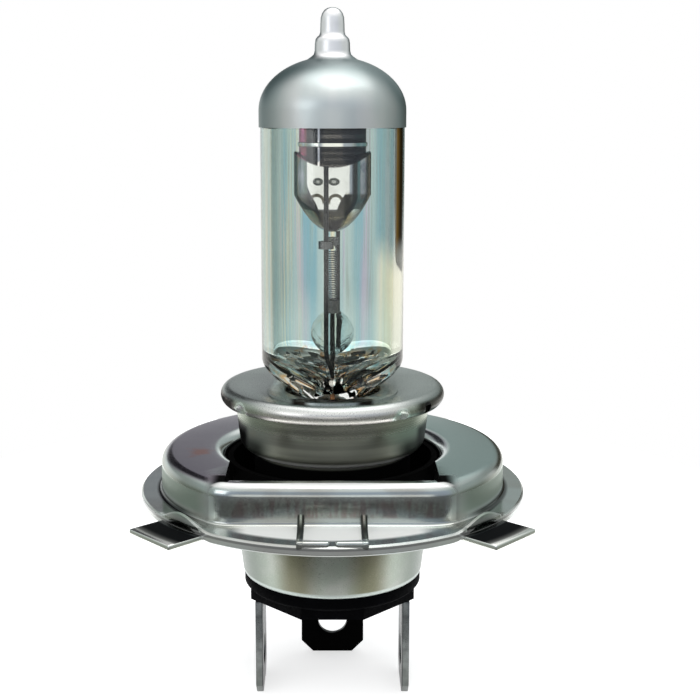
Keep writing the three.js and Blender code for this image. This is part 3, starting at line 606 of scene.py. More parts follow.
def clear_glass(settings):
    """Clear glass with upright streaks, with painted shade where the tube is seen edge-on and a band of
    painted shade, brown to black, up its right edge, where the glass also lets less light through.

    A painted cream reflection lies low on its right side. Its shoulder is clearer, with coloured
    glints and stronger flares."""
    tree = Tree("clear glass")
    place = tree.upright_lines(0.003)
    cool = tree.spread(tree.noise(place, 2.6, 2.0), 0.4, 0.6)
    warm = tree.spread(tree.noise(place, 5.1, 2.0, distortion=0.4), 0.5, 0.68)
    lilac = tree.spread(tree.noise(place, 9.3, 2.0), 0.56, 0.7)
    lines = tree.spread(tree.noise(place, 24, 2.0), 0.56, 0.72)
    body = tree.blend(warm, tree.blend(cool, settings.clear, settings.cool), settings.warm)
    streaked = ((tree.product(lilac, 0.7), (0.54, 0.46, 0.56)), (tree.product(lines, 0.6), (0.22, 0.25, 0.2)))
    body = tree.paint(body, *streaked)
    across, back = (tree.product(tree.measure(name), 1 / settings.radius) for name in ("x", "y"))
    body = tree.blend(tree.spread(back, -0.8, -0.45), (0.95, 0.97, 0.95), body)
    facing = tree.facing()
    streaks = tree.spread(tree.noise(place, 33, 2.0), 0.42, 0.62, 0.25, 1.0)
    # Painted shade where the tube is seen edge-on, deeper along the streaks.
    body = tree.blend(tree.product(tree.spread(facing, 0.22, 0.6), streaks, 0.7), body, (0.56, 0.54, 0.48))
    upper = tree.zone(up=SHOULDER_TOP, height=(9, 14))
    # A band of painted shade up the right edge; it also lowers the IOR and the transmission there.
    shade_band = tree.product(
        tree.bounded({"x": across, "y": back}, {"x": (0.83, 0.88, 0.975, 0.95), "y": (0.0, -0.1)}),
        tree.spread(tree.measure("away"), settings.radius - 0.3 * MM, settings.radius - 0.1 * MM),
        tree.spread(facing, 0.2, 0.4),
        upper,
    )
    # The painted shade is brown on the band's inner side and near black at the outline.
    brown = tree.blend(tree.spread(across, 0.85, 0.93), (0.3, 0.17, 0.03), (0.02, 0.014, 0.005))
    # A painted cream reflection low on the right side.
    lower = tree.product(tree.rest(upper), tree.spread(across, 0.62, 0.78))
    low_down = tree.product(tree.zone(up=SHOULDER_TOP, height=(8, 2)), 0.25)
    body = tree.paint(body, (shade_band, brown), (lower, (0.9, 0.9, 0.75)), (low_down, (0.78, 0.93, 0.9)))
    glints = tree.noise(tree.place(), 420, 2.0, distortion=0.8)
    foot = tree.blend(tree.spread(glints, 0.55, 0.6), (0.97, 0.97, 0.9), (0.95, 0.42, 0.12))
    flares = tree.product(
        tree.spread(tree.noise(tree.place(), 620, 1.0, distortion=0.6), 0.5, 0.58),
        tree.zone(up=SHOULDER_TOP, height=(-0.6, -1.6), away=(2.5, 3.2)),
    )
    foot = tree.paint(foot, (tree.spread(glints, 0.4, 0.35), (0.4, 0.9, 0.97)), (flares, (1.0, 1.0, 1.0)))
    tree.set(
        Base_Color=tree.blend(tree.zone(up=SHOULDER_TOP, height=(-1, 0)), foot, body),
        Roughness=0.015,
        IOR=tree.math("SUBTRACT", tree.math("ADD", 1.46, flares), tree.product(shade_band, 0.42)),
        Transmission_Weight=tree.rest(tree.product(shade_band, 0.9)),
    )
    return tree.material


def bead_glass():
    """Soft glass full of swirls."""
    tree = Tree("bead glass")
    swirl = tree.noise(tree.place(), 260, 3.0, 0.5, 1.6)
    edge = tree.spread(tree.facing(), 0.35, 0.95)
    body = tree.blend(tree.spread(swirl, 0.4, 0.6), (0.97, 0.98, 0.97), (0.76, 0.83, 0.81))
    tree.set(
        Base_Color=tree.blend(edge, body, (0.74, 0.78, 0.76)),
        Roughness=0.03,
        IOR=1.02,
        Transmission_Weight=0.98,
        Normal=tree.bump(swirl, 0.9, 0.5 * MM),
    )
    return tree.material


def silver_paint(settings):
    """Clouded paint, with painted shade where it turns away from the eye, and a whiter tip with painted shade
    at its outline.
    """
    tree = Tree("silver paint")
    clouds = tree.noise(tree.place(), 90, 3.0, 0.6)
    streaks = tree.noise(tree.upright_lines(0.03), 2.2, 2.0)
    shade = tree.spread(tree.product(clouds, streaks), 0.16, 0.36)
    grain = tree.noise(tree.place(), 2600, 2.0)
    body = tree.blend(shade, settings.shade, settings.silver)
    facing = tree.facing()
    # Painted shade where the paint turns away from the eye.
    body = tree.blend(tree.spread(facing, 0.12, 0.7), body, (0.11, 0.16, 0.16))
    tip = tree.blend(tree.spread(facing, 0.4, 0.8), (1.0, 1.0, 1.0), (0.12, 0.16, 0.16))
    tree.set(
        Base_Color=tree.blend(tree.zone(up=GLASS_TIP, height=(-6.5, -4.5)), body, tip),
        Metallic=0.65,
        Roughness=tree.spread(clouds, 0.3, 0.7, 0.34, 0.42),
        Normal=tree.bump(grain, 0.15, 0.01 * MM),
    )
    return tree.material


def polished_shield(colour, bottom, bowl, lip):
    """Bright stamped sheet, with painted shade along its folds and where it turns away from the eye.

    Its front has a pale window, a painted reflection made by turning the normal there to face the front,
    with two dark rings and two dark arches painted in it as reflections, and painted shade beside it.
    Above the lip the neck is painted dark as shade, with a red stripe and a thin shine painted as
    reflections, and a bright seam painted as a highlight on the bead."""
    tree = Tree("polished shield")
    waves = tree.noise(tree.place(), 430, 1.0)
    stain = tree.noise(tree.place(), 520, 3.0, 0.6)
    x, height = tree.measure("x"), tree.measure("height")
    body = tree.blend(tree.spread(stain, 0.4, 0.8, 0.0, 0.35), colour, (0.42, 0.4, 0.34))
    # Painted shade where the sheet turns away from the eye.
    body = tree.blend(tree.spread(tree.facing(), 0.3, 0.6), body, (0.1, 0.09, 0.075))
    body = tree.blend(tree.zone(x=(3.3, 3.8)), body, (0.3, 0.18, 0.12))
    front = tree.zone(y=(-0.8, -1.6))
    off = tree.absolute(tree.math("ADD", x, 0.5 * MM))
    narrowed = tree.spread(height, lip - 5.0 * MM, lip - 1.8 * MM, 0.0, 1.15 * MM)
    # The window: here the normal is turned to face the front, which paints a bright reflection.
    window = tree.product(
        tree.spread(tree.math("SUBTRACT", off, narrowed), 1.1 * MM, 0.95 * MM),
        tree.zone(up=lip, height=(-5.1, -4.6, 0.5, 0.35)),
        front,
    )
    framed = tree.rest(window)
    # Painted shade on the bowl beside the window.
    shade_beside_window = tree.product(tree.zone(up=bottom + bowl, height=(0.6, 0)), tree.spread(off, 2.9 * MM, 2.2 * MM))
    body = tree.blend(tree.product(shade_beside_window, framed, front), body, (0.16, 0.14, 0.09))
    # Two dark rings painted in the window as reflections.
    for across, half_width in ((-1.5, 0.52), (0.16, 0.58)):
        mark = around_oval(tree, across * MM, lip - 1.7 * MM, half_width * MM, 0.4 * MM)
        ring = tree.product(tree.spread(mark, 1.15, 0.9), tree.spread(mark, 0.1, 0.7, 0.55, 1.0), front)
        body = tree.blend(ring, body, (0.05, 0.055, 0.045))
    # Two dark arches painted in the window as reflections.
    for across in (-1.62, 0.34):
        arch = around_oval(tree, across * MM, lip - 3.95 * MM, 0.72 * MM, 0.8 * MM)
        arch = tree.bounded({"arch": arch}, {"arch": (1.3, 1.15, 0.7, 0.9)})
        arch = tree.product(arch, front, tree.zone(up=lip, height=(-4.2, -3.9)))
        body = tree.blend(arch, body, (0.07, 0.06, 0.035))
    # Painted shade along the folds of the bowl.
    fold = tree.product(tree.math("POWER", tree.spread(height, bottom, bottom + bowl), 0.7), 2.35 * MM)
    off_fold = tree.absolute(tree.math("SUBTRACT", tree.measure("wide"), fold))
    line = tree.product(tree.spread(off_fold, 0.42 * MM, 0.14 * MM), framed, front, 0.92)
    body = tree.blend(line, body, (0.05, 0.045, 0.03))
    # The neck above the lip is painted dark as shade, with a red stripe and a thin shine painted as
    # reflections.
    rings = tree.noise(tree.add("CombineXYZ", {"Z": height}).outputs["Vector"], 1500, 1.0)
    neck = tree.blend(tree.spread(rings, 0.48, 0.6), (0.02, 0.018, 0.014), (0.11, 0.1, 0.09))
    neck = tree.blend(tree.zone(x=(-4.0, -3.6, -2.6, -2.9)), neck, (0.62, 0.15, 0.28))
    neck = tree.blend(tree.zone(x=(-1.6, -1.48, -1.26, -1.38)), neck, (0.9, 0.85, 0.84))
    over = tree.math("SUBTRACT", height, dipped_lip(tree, lip))
    body = tree.blend(tree.spread(over, -0.3 * MM, -0.12 * MM), body, neck)
    # A painted highlight on the bead above the neck.
    body = tree.blend(tree.zone(up=lip, height=(1.9, 1.95, 2.45, 2.4)), body, (0.95, 0.93, 0.86))
    panel = tree.product(
        tree.zone(up=bottom + bowl, wide=(2.75, 3.1, 3.8, 3.55), height=(-1, 0)),
        tree.spread(stain, 0.3, 0.7, 0.75, 0.3),
        front,
    )
    level = {0: tree.most(window, panel), 4: tree.bump(waves, 0.35, 0.12 * MM), 5: (0, -1, 0)}
    normal = tree.add("Mix", level, data_type="VECTOR").outputs[1]
    tree.set(Base_Color=body, Metallic=1.0, Roughness=0.09, Normal=normal)
    return tree.material


def around_oval(tree, across, up, half_width, half_height):
    """1 on an upright oval about (across, up), less inside it and more outside."""
    aside = tree.product(tree.math("SUBTRACT", tree.measure("x"), across), 1 / half_width)
    above = tree.product(tree.math("SUBTRACT", tree.measure("height"), up), 1 / half_height)
    return tree.math("POWER", tree.math("ADD", tree.product(aside, aside), tree.product(above, above)), 0.5)


def dipped_lip(tree, lip):
    """Height of the shield's dipped lip, which rises to both sides."""
    side = tree.product(tree.measure("x"), 1 / SHIELD_HALF)
    return tree.math("ADD", tree.product(side, side, LIP_DIP), lip)


def spring_steel():
    tree = Tree("spring steel")
    marks = tree.noise(tree.place(), 900, 3.0, 0.65)
    tree.set(
        Base_Color=tree.blend(tree.spread(marks, 0.3, 0.75), (0.62, 0.62, 0.6), (0.34, 0.33, 0.3)),
        Metallic=1.0,
        Roughness=tree.spread(marks, 0.3, 0.8, 0.16, 0.34),
        Normal=tree.bump(marks, 0.2, 0.05 * MM),
    )
    return tree.material


def drawn_steel(
    name, colour, stain, lines, roughness=0.3, grain=0.35, dark=None, hollow=None, painted_light=None, matt=None
):
    """Plated sheet steel with clouds of a darker cast, and round or upright lines or a fine grain.

    dark takes the tree and the colour so far and returns the colour with the piece's painted light
    and shade and any stains of its own.
    hollow takes the tree and returns 1 where the steel is painted matt black as shadow, and the
    argument after it returns 1 where the steel is painted dull white as a highlight.
    matt takes the tree and returns the least roughness."""
    tree = Tree(name)
    if lines == "grain":
        fine = tree.noise(tree.place(), 7000, 3.0, 0.6)
        broad = tree.noise(tree.place(), 60, 2.0)
    elif lines == "round":
        fine = tree.noise(tree.round_lines(), 9000, 3.0, 0.7)
        broad = tree.noise(tree.round_lines(), 900, 2.0)
    else:
        fine = tree.noise(tree.upright_lines(0.3), 60, 3.0, 0.7)
        broad = tree.noise(tree.upright_lines(0.1), 2.6, 2.0)
    clouds = tree.noise(tree.place(), 110, 3.0, 0.5)
    cast = tree.spread(tree.add("Mix", {0: 0.7, 2: clouds, 3: broad}).outputs[0], 0.38, 0.6)
    body = tree.blend(cast, stain, colour)
    body = dark(tree, body) if dark else body
    gloss = tree.spread(fine, 0.25, 0.75, roughness * 0.8, roughness * 1.35)
    bare = 1.0
    if matt:
        gloss = tree.math("MAXIMUM", gloss, matt(tree))
    # Painted shadow: matt black, with no metal.
    if hollow:
        black = hollow(tree)
        body = tree.blend(black, body, (0.003, 0.003, 0.003))
        gloss = tree.math("MAXIMUM", gloss, black)
        bare = tree.math("SUBTRACT", bare, black)
    # Painted highlight: dull white, with little metal.
    if painted_light:
        white = painted_light(tree)
        body = tree.blend(white, body, (0.96, 0.97, 0.94))
        bare = tree.math("SUBTRACT", bare, tree.product(white, 0.9))
    tree.set(
        Base_Color=body,
        Metallic=bare,
        Specular_IOR_Level=0.02,
        Roughness=gloss,
        Normal=tree.bump(fine, grain, 0.012 * MM),
    )
    return tree.material


def drawn_wire(name, colour, roughness=0.3, foot=None):
    """Drawn wire, with painted shade at its outline, and a coppery foot below a height."""
    tree = Tree(name)
    marks = tree.noise(tree.place(), 1500, 3.0, 0.7)
    body = tree.blend(tree.spread(marks, 0.35, 0.75), colour, tuple(c * 0.5 for c in colour))
    # Painted shade at the outline.
    body = tree.blend(tree.spread(tree.facing(), 0.2, 0.55), body, tuple(c * 0.06 for c in colour))
    if foot:
        body = tree.blend(tree.zone(up=foot, height=(-1, 1)), (0.62, 0.3, 0.15), body)
    tree.set(
        Base_Color=body,
        Metallic=0.95,
        Roughness=tree.spread(marks, 0.3, 0.7, roughness * 0.8, roughness * 1.4),
        Normal=tree.bump(marks, 0.2, 0.01 * MM),
    )
    return tree.material


def moulded_plastic(name, colour):
    tree = Tree(name)
    grain = tree.noise(tree.place(), 3200, 3.0, 0.6)
    scuff = tree.spread(tree.noise(tree.place(), 300, 4.0), 0.5, 0.8)
    tree.set(
        Base_Color=tree.blend(scuff, colour, tuple(c * 2.2 for c in colour)),
        Roughness=tree.spread(grain, 0.3, 0.7, 0.55, 0.75),
        Specular_IOR_Level=0.02,
        Normal=tree.bump(grain, 0.25, 0.015 * MM),
    )
    return tree.material


# ---- glass ----


def swell(share):
    """Rises fast at first and levels off, as softened glass does from pinch to tube."""
    return math.sin(share * math.pi / 2)


def shoulder_rows(glass, grow=0.0, steps=14):
    rows = []
    for i in range(steps + 1):
        share = i / steps
        part = swell(share)
        half_x = mix(glass.pinch_half_thickness, glass.radius, part) + grow
        half_y = mix(glass.pinch_half_width, glass.radius, part) + grow
        rows.append((oval(half_x, half_y, mix(6, 2, math.sqrt(part))), mix(PINCH_TOP, SHOULDER_TOP, share)))
    return rows


def dome_rows(radius, rise, foot, least, steps=16):
    """Rows up a dome until it is as narrow as least."""
    end = math.acos(least / radius)
    return [
        (radius * math.cos(end * i / steps), foot + rise * math.sin(end * i / steps))
        for i in range(1, steps + 1)
    ]


def tip_rows(grow):
    """Rows of the two-step exhaust tip above the dome."""
    profile = [(2.15, 47.86), (1.88, 48.1), (1.78, 48.5), (1.75, 49.3), (1.68, 49.7), (1.5, 49.93)]
    profile += [(1.28, 50.12), (1.18, 50.45), (1.16, 51.3), (1.12, 51.95), (0.98, 52.4), (0.72, 52.76)]
    profile += [(0.4, 52.96), (0.1, 53.03)]
    shift = GLASS_TIP - 53.04 * MM
    return [(radius * MM + grow, height * MM + shift + grow) for radius, height in profile]


class BULB_OT_glass_envelope(bpy.types.Operator):
    """Blow the glass tube with its pinch, dome and tip"""

    bl_idname = "bulb.glass_envelope"
    bl_label = "Glass envelope"

    def execute(self, context):
        glass = context.scene.bulb_glass
        pinch = oval(glass.pinch_half_thickness, glass.pinch_half_width, 6)
        inner_pinch = oval(glass.pinch_half_thickness * 0.88, glass.pinch_half_width * 0.96, 6)
        outside = [(inner_pinch, GLASS_FOOT), (pinch, GLASS_FOOT + 0.4 * MM)]
        outside += shoulder_rows(glass)
        outside += dome_rows(glass.radius, DOME_RISE, TUBE_TOP, 2.6 * MM)
        outside += tip_rows(0)
        skin = loops("glass_envelope.visual", outside, sides=160, ends="closed")

        hollow_radius = glass.radius - glass.wall
        floor = PINCH_TOP + 1.2 * MM
        inside = []
        for i in range(11):
            part = swell(i / 10)
            half_x = mix(glass.pinch_half_thickness - 0.5 * MM, hollow_radius, part)
            half_y = mix(glass.pinch_half_width - 1.8 * MM, hollow_radius, part)
            inside.append((oval(half_x, half_y), mix(floor, SHOULDER_TOP + glass.wall, i / 10)))
        inside += dome_rows(hollow_radius, DOME_RISE - glass.wall, TUBE_TOP, 0.1 * MM)
        hollow = loops("hollow", inside, sides=160, ends="closed")
        edit(hollow)
        bpy.ops.mesh.select_all(action="SELECT")
        bpy.ops.mesh.flip_normals()
        bpy.ops.object.mode_set(mode="OBJECT")

        join(skin, hollow)
        finish_piece(skin, clear_glass(glass), ["glass_envelope"])
        return {"FINISHED"}


class BULB_OT_tip_coating(bpy.types.Operator):
    """Paint the dome and tip, down to a sharp level edge"""

    bl_idname = "bulb.tip_coating"
    bl_label = "Tip coating"

    def execute(self, context):
        glass = context.scene.bulb_glass
        gap = 0.03 * MM
        edge = TUBE_TOP - glass.coating_depth

        def skin_rows(grow):
            rows = [(glass.radius + grow, edge), (glass.radius + grow, TUBE_TOP)]
            rows += dome_rows(glass.radius + grow, DOME_RISE + grow, TUBE_TOP, 2.6 * MM + grow)
            return rows + tip_rows(grow)

        outer = skin_rows(gap + glass.coating)
        inner = skin_rows(gap)
        piece = loops("tip_coating.visual", outer + inner[::-1], sides=160, ends="joined")
        finish_piece(piece, silver_paint(glass), ["tip_coating"])
        return {"FINISHED"}


class BULB_OT_lead_bead(bpy.types.Operator):
    """Melt the clear bead that ties the leads together"""

    bl_idname = "bulb.lead_bead"
    bl_label = "Lead bead"

    def execute(self, context):
        bottom, top = low("lead_bead").z, high("lead_bead").z
        half_x, half_y = high("lead_bead").x, high("lead_bead").y
        rows = []
        for i in range(17):
            angle = math.pi * (0.04 + 0.92 * i / 16)
            girth = math.sin(angle) ** 0.55
            rows.append((oval(half_x * girth, half_y * girth**0.35, 2.4), mix(bottom, top, i / 16)))
        piece = loops("lead_bead.visual", rows, sides=64, ends="closed")
        finish_piece(piece, bead_glass(), ["lead_bead"], smooth=60)
        return {"FINISHED"}


# ---- inside the tube ----


def node_middle(node):
    lowest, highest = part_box(node)
    return (lowest + highest) / 2


class BULB_OT_leads(bpy.types.Operator):
    """Bend the three leads"""

    bl_idname = "bulb.leads"
    bl_label = "Leads"

    def execute(self, context):
        inside = context.scene.bulb_inside
        foot = low("high_beam_lead").z
        bead_bottom, bead_top = low("lead_bead").z, high("lead_bead").z
        bend = inside.bend
        radius = inside.wire / 2
        row, offset, gap = 4.4 * MM, 0.65 * MM, 0.15 * MM
        kink = PINCH_TOP + 2 * MM + bend
        front = low("beam_shield").y - radius - gap
        coil = node_middle("low_beam_filament")
        hook_end = high("low_beam_filament").z + gap
        routes = {
            "common_lead": [
                (0, -row, foot),
                (0, -row, kink),
                (-offset, -row, bead_bottom - gap),
                (-offset, -row, bead_top + bend),
                (-offset, front, bead_top + 3 * bend),
                (-offset, front, high("common_lead").z),
            ],
            "high_beam_lead": [(0, 0, foot), (0, 0, high("high_beam_lead").z)],
            "low_beam_lead": [
                (0, row, foot),
                (0, row, kink),
                (offset, row, bead_bottom - gap),
                (offset, row, hook_end + 2 * bend),
                (0, coil.y, hook_end + 2 * bend),
                (0, coil.y, hook_end),
            ],
        }
        material = drawn_wire("dark wire", tuple(inside.lead), foot=PINCH_TOP + 1.5 * MM)
        for name, route in routes.items():
            piece = wire(name + ".visual", route, inside.wire, 16, bend)
            finish_piece(piece, material, [name], smooth=50)
        for node in ("common_outer_lead", "high_beam_outer_lead", "low_beam_outer_lead"):
            dress(node, material)
        return {"FINISHED"}


class BULB_OT_filaments(bpy.types.Operator):
    """Wind the two filaments"""

    bl_idname = "bulb.filaments"
    bl_label = "Filaments"

    def execute(self, context):
        inside = context.scene.bulb_inside
        material = drawn_wire("tungsten wire", (0.34, 0.34, 0.36))
        for name in ("high_beam_filament", "low_beam_filament"):
            lowest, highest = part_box(name)
            middle = node_middle(name)
            cad_wire, tail = 0.22 * MM, 1.3 * MM
            radius = (highest.x - lowest.x - cad_wire) / 2
            bottom, top = lowest.z + 0.5 * tail, highest.z - tail
            route = [(middle.x, middle.y, lowest.z)]
            steps = inside.coil_turns * 16
            for i in range(steps + 1):
                angle = math.tau * i / 16
                x = middle.x + radius * math.cos(angle)
                y = middle.y + radius * math.sin(angle)
                route.append((x, y, mix(bottom, top, i / steps)))
            route.append((middle.x, middle.y, highest.z))
            piece = wire(name + ".visual", route, inside.coil_wire, 8)
            finish_piece(piece, material, [name], smooth=60)
        return {"FINISHED"}


def shield_outline(width, depth):
    """Outline of the stamped shield: a flat front, a slanted panel at each side, then straight walls."""
    planes = [(0, -1, 3.58), (0.722, -0.692, 4.12), (-0.722, -0.692, 4.12)]
    planes += [(1, 0, 4.2), (-1, 0, 4.2), (0, 1, 4.2)]
    sharpness = 16

    def radius(angle):
        x, y = math.cos(angle) / width, math.sin(angle) / depth
        reach = sum(max(0.0, (x * nx + y * ny) / (away * MM)) ** sharpness for nx, ny, away in planes)
        return reach ** (-1 / sharpness)

    return radius


class BULB_OT_beam_shield(bpy.types.Operator):
    """Stamp the polished shield: bowl, dipped lip and the half tube above it"""

    bl_idname = "bulb.beam_shield"
    bl_label = "Beam shield"

    def execute(self, context):
        inside = context.scene.bulb_inside
        lowest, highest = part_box("beam_shield")
        bottom, top = lowest.z, highest.z
        bowl = (top - bottom) * 0.3037
        lip = bottom + (top - bottom) * 0.5481
        half = highest.x

        def lip_height(rise):
            def height(angle, r):
                side = min(1.0, abs(r * math.cos(angle)) / half)
                return lip + rise + LIP_DIP * (side**2 - 7.1 * max(0.0, side - 0.86) ** 2)

            return height

        rows = []
        for share in (0.015, 0.05, 0.1, 0.17, 0.26, 0.36, 0.48, 0.6, 0.73, 0.87, 1.0):
            rows.append((shield_outline(share**0.48, share**0.36), bottom + bowl * share))
        rows.append((shield_outline(1, 1), bottom + bowl + 0.3 * MM))
        rows.append((shield_outline(1, 1), lip_height(-0.45 * MM)))
        rows.append((shield_outline(1, 1), lip_height(0)))
        rows.append((shield_outline(0.965, 0.965), lip_height(0.18 * MM)))
        neck, bead = oval(3.65 * MM, 3.05 * MM, 2.3), oval(3.8 * MM, 3.2 * MM, 2.3)
        rows.append((neck, lip_height(0.22 * MM)))
        rows.append((neck, lip_height(0.4 * MM)))
        for shape, rise in ((neck, 1.9), (bead, 2.0), (bead, 2.35), (neck, 2.45), (neck, 3.2)):
            rows.append((shape, lip + rise * MM))
        rows.append((neck, top))
        piece = loops("beam_shield.visual", rows, sides=192)
        edit(piece)
        select(piece, "verts", lambda vertex: vertex.index < 192)
        bpy.ops.mesh.edge_face_add()
        bpy.ops.mesh.select_all(action="SELECT")
        bpy.ops.mesh.bisect(plane_co=(0, highest.y, 0), plane_no=(0, 1, 0), clear_outer=True)
        bpy.ops.object.mode_set(mode="OBJECT")
        apply_modifier(piece, "SOLIDIFY", thickness=inside.sheet, offset=-1, use_even_offset=False)
        material = polished_shield(inside.shield, bottom, bowl, lip)
        finish_piece(piece, material, ["beam_shield"], smooth=25)
        return {"FINISHED"}


class BULB_OT_joints(bpy.types.Operator):
    """Finish the sleeves, clamps and sealing foils that join wires and filaments"""

    bl_idname = "bulb.joints"
    bl_label = "Joints and foils"

    def execute(self, context):
        joint = drawn_wire("joint metal", (0.34, 0.33, 0.31))
        for beam in ("high", "low"):
            dress(beam + "_filament_sleeve", joint)
            dress(beam + "_filament_clamp", joint)
        foil = drawn_wire("foil metal", (0.66, 0.42, 0.27), 0.25)
        for node in ("common_foil", "high_beam_foil", "low_beam_foil"):
            dress(node, foil)
        return {"FINISHED"}


# ---- cap ----


def arc(centre_x, centre_z, radius, start_angle, end_angle, steps=6):
    """Points round a fold in a turned profile, by angles in degrees from outwards."""
    points = []
    for i in range(steps + 1):
        angle = math.radians(mix(start_angle, end_angle, i / steps))
        points.append((centre_x + radius * math.cos(angle), centre_z + radius * math.sin(angle)))
    return points


class BULB_OT_retainer_plate(bpy.types.Operator):
    """Press the matt plate with its rim, border and slot"""

    bl_idname = "bulb.retainer_plate"
    bl_label = "Retainer plate"
    stakes = (-52, 36, 180)
    stake_depth = 1.7 * MM
    notch_angle = 55

    def execute(self, context):
        cap = context.scene.bulb_cap
        sheet, radius, top = cap.plate_sheet, PLATE_RADIUS, PLATE_TOP
        rim = low("retainer_plate").z
        edge, middle = 1.05 * MM, 3 * MM
        rows = [(middle, top - sheet)]
        rows += [(radius - sheet - 0.3 * MM, top - sheet), (radius - sheet, top - sheet - 0.3 * MM)]
        rows += [(radius - sheet, rim)]
        rows += arc(radius - edge, top - edge, edge, -52, 90, 14)
        rows += [(mix(middle, radius, 0.75), top), (middle, top)]
        piece = loops("retainer_plate.visual", rows, sides=160, ends="joined")
        border = 1.9 * MM
        half_x, half_y = radius * 0.416, radius * 0.752
        raised = stadium("border", half_x + border, half_y + border, top - sheet / 2, top + BORDER_RISE)
        combine(piece, raised, "UNION")
        combine(piece, stadium("slot", half_x, half_y, rim - MM, top + MM), "DIFFERENCE")
        across, upper, lower = 0.55 * MM, top - 0.9 * MM, top - 1.8 * MM
        notch = block("notch", (-across, -radius - MM, lower), (across, -radius + MM, upper))
        combine(piece, turn(notch, self.notch_angle), "DIFFERENCE")
        for angle in self.stakes:
            combine(piece, self.dimple(angle, radius, top - self.stake_depth), "DIFFERENCE")
        soften(piece, 0.1 * MM, 2, 50)

        def on_rim(angle, height):
            turned = math.radians(angle - 90)
            return radius * math.cos(turned), radius * math.sin(turned), height

        def painted_light(tree, colour):
            """Painted highlight along the front of the rim and painted shade, mottled brown, at its ends;
            a painted highlight round each punch mark with a painted dark centre; painted shade in the notch
            and a painted shadow before the slot.
            """
            # Painted highlight along the front of the rim, painted shade at its ends.
            rim_light_and_shade = tree.blend(tree.zone(wide=(6.5, 8.5)), (0.74, 0.72, 0.67), (0.45, 0.49, 0.42))
            mottle = tree.spread(tree.noise(tree.place(), 800, 2.0), 0.44, 0.54)
            ends = tree.blend(mottle, (0.002, 0.002, 0.002), (0.12, 0.105, 0.095))
            right_end_shade = tree.zone(x=(8.4, 9.6))
            rim_light_and_shade = tree.paint(rim_light_and_shade, (tree.zone(wide=(10, 11)), ends), (right_end_shade, (0.05, 0.05, 0.04)))
            colour = tree.blend(tree.zone(up=top, height=(-0.3, -0.65)), colour, rim_light_and_shade)
            # At each punch mark, a painted highlight round a painted dark centre.
            for angle in self.stakes:
                apart = tree.apart(on_rim(angle, top - self.stake_depth))
                colour = tree.blend(tree.spread(apart, 1.3 * MM, 1.1 * MM), colour, (0.75, 0.82, 0.75))
                colour = tree.blend(tree.spread(apart, 0.7 * MM, 0.45 * MM), colour, (0.05, 0.06, 0.05))
            # Painted shade in the notch.
            apart = tree.apart(on_rim(self.notch_angle, top - 1.3 * MM))
            colour = tree.blend(tree.spread(apart, 0.85 * MM, 0.65 * MM), colour, (0.01, 0.01, 0.01))
            # Painted shadow in front of the slot.
            slot_shadow = tree.zone(wide=(4.6, 3.9), y=(-9.0, -9.3, -11.0, -10.6))
            return tree.blend(slot_shadow, colour, (0.02, 0.018, 0.014))

        def shaded(tree):
            """Low on the rim at the left, where it turns away."""
            return tree.product(tree.zone(up=top, x=(-10.2, -11.2), height=(-0.5, -1.0)), 0.7)

        def painted_highlight(tree):
            """A painted highlight in dull white on the upper edge of the rim at the front."""
            edge = tree.zone(up=top, height=(-0.03, -0.12, -0.85, -0.6), wide=(10, 5), y=(-7, -9))
            return tree.product(edge, 0.55)

        stain = tuple(c * 0.88 for c in cap.matt)
        masks = (painted_light, shaded, painted_highlight)
        material = drawn_steel("matt plate", cap.matt, stain, "grain", 0.3, 0.03, *masks)
        finish_piece(piece, material, ["retainer_plate"])
        return {"FINISHED"}

    def dimple(self, angle, radius, height):
        """A punch mark in the rim, where it is staked to the cup."""
        start()
        place = (0, -(radius + 0.4 * MM), height)
        bpy.ops.mesh.primitive_ico_sphere_add(subdivisions=3, radius=1.05 * MM, location=place)
        settle()
        return turn(named("dimple"), angle)


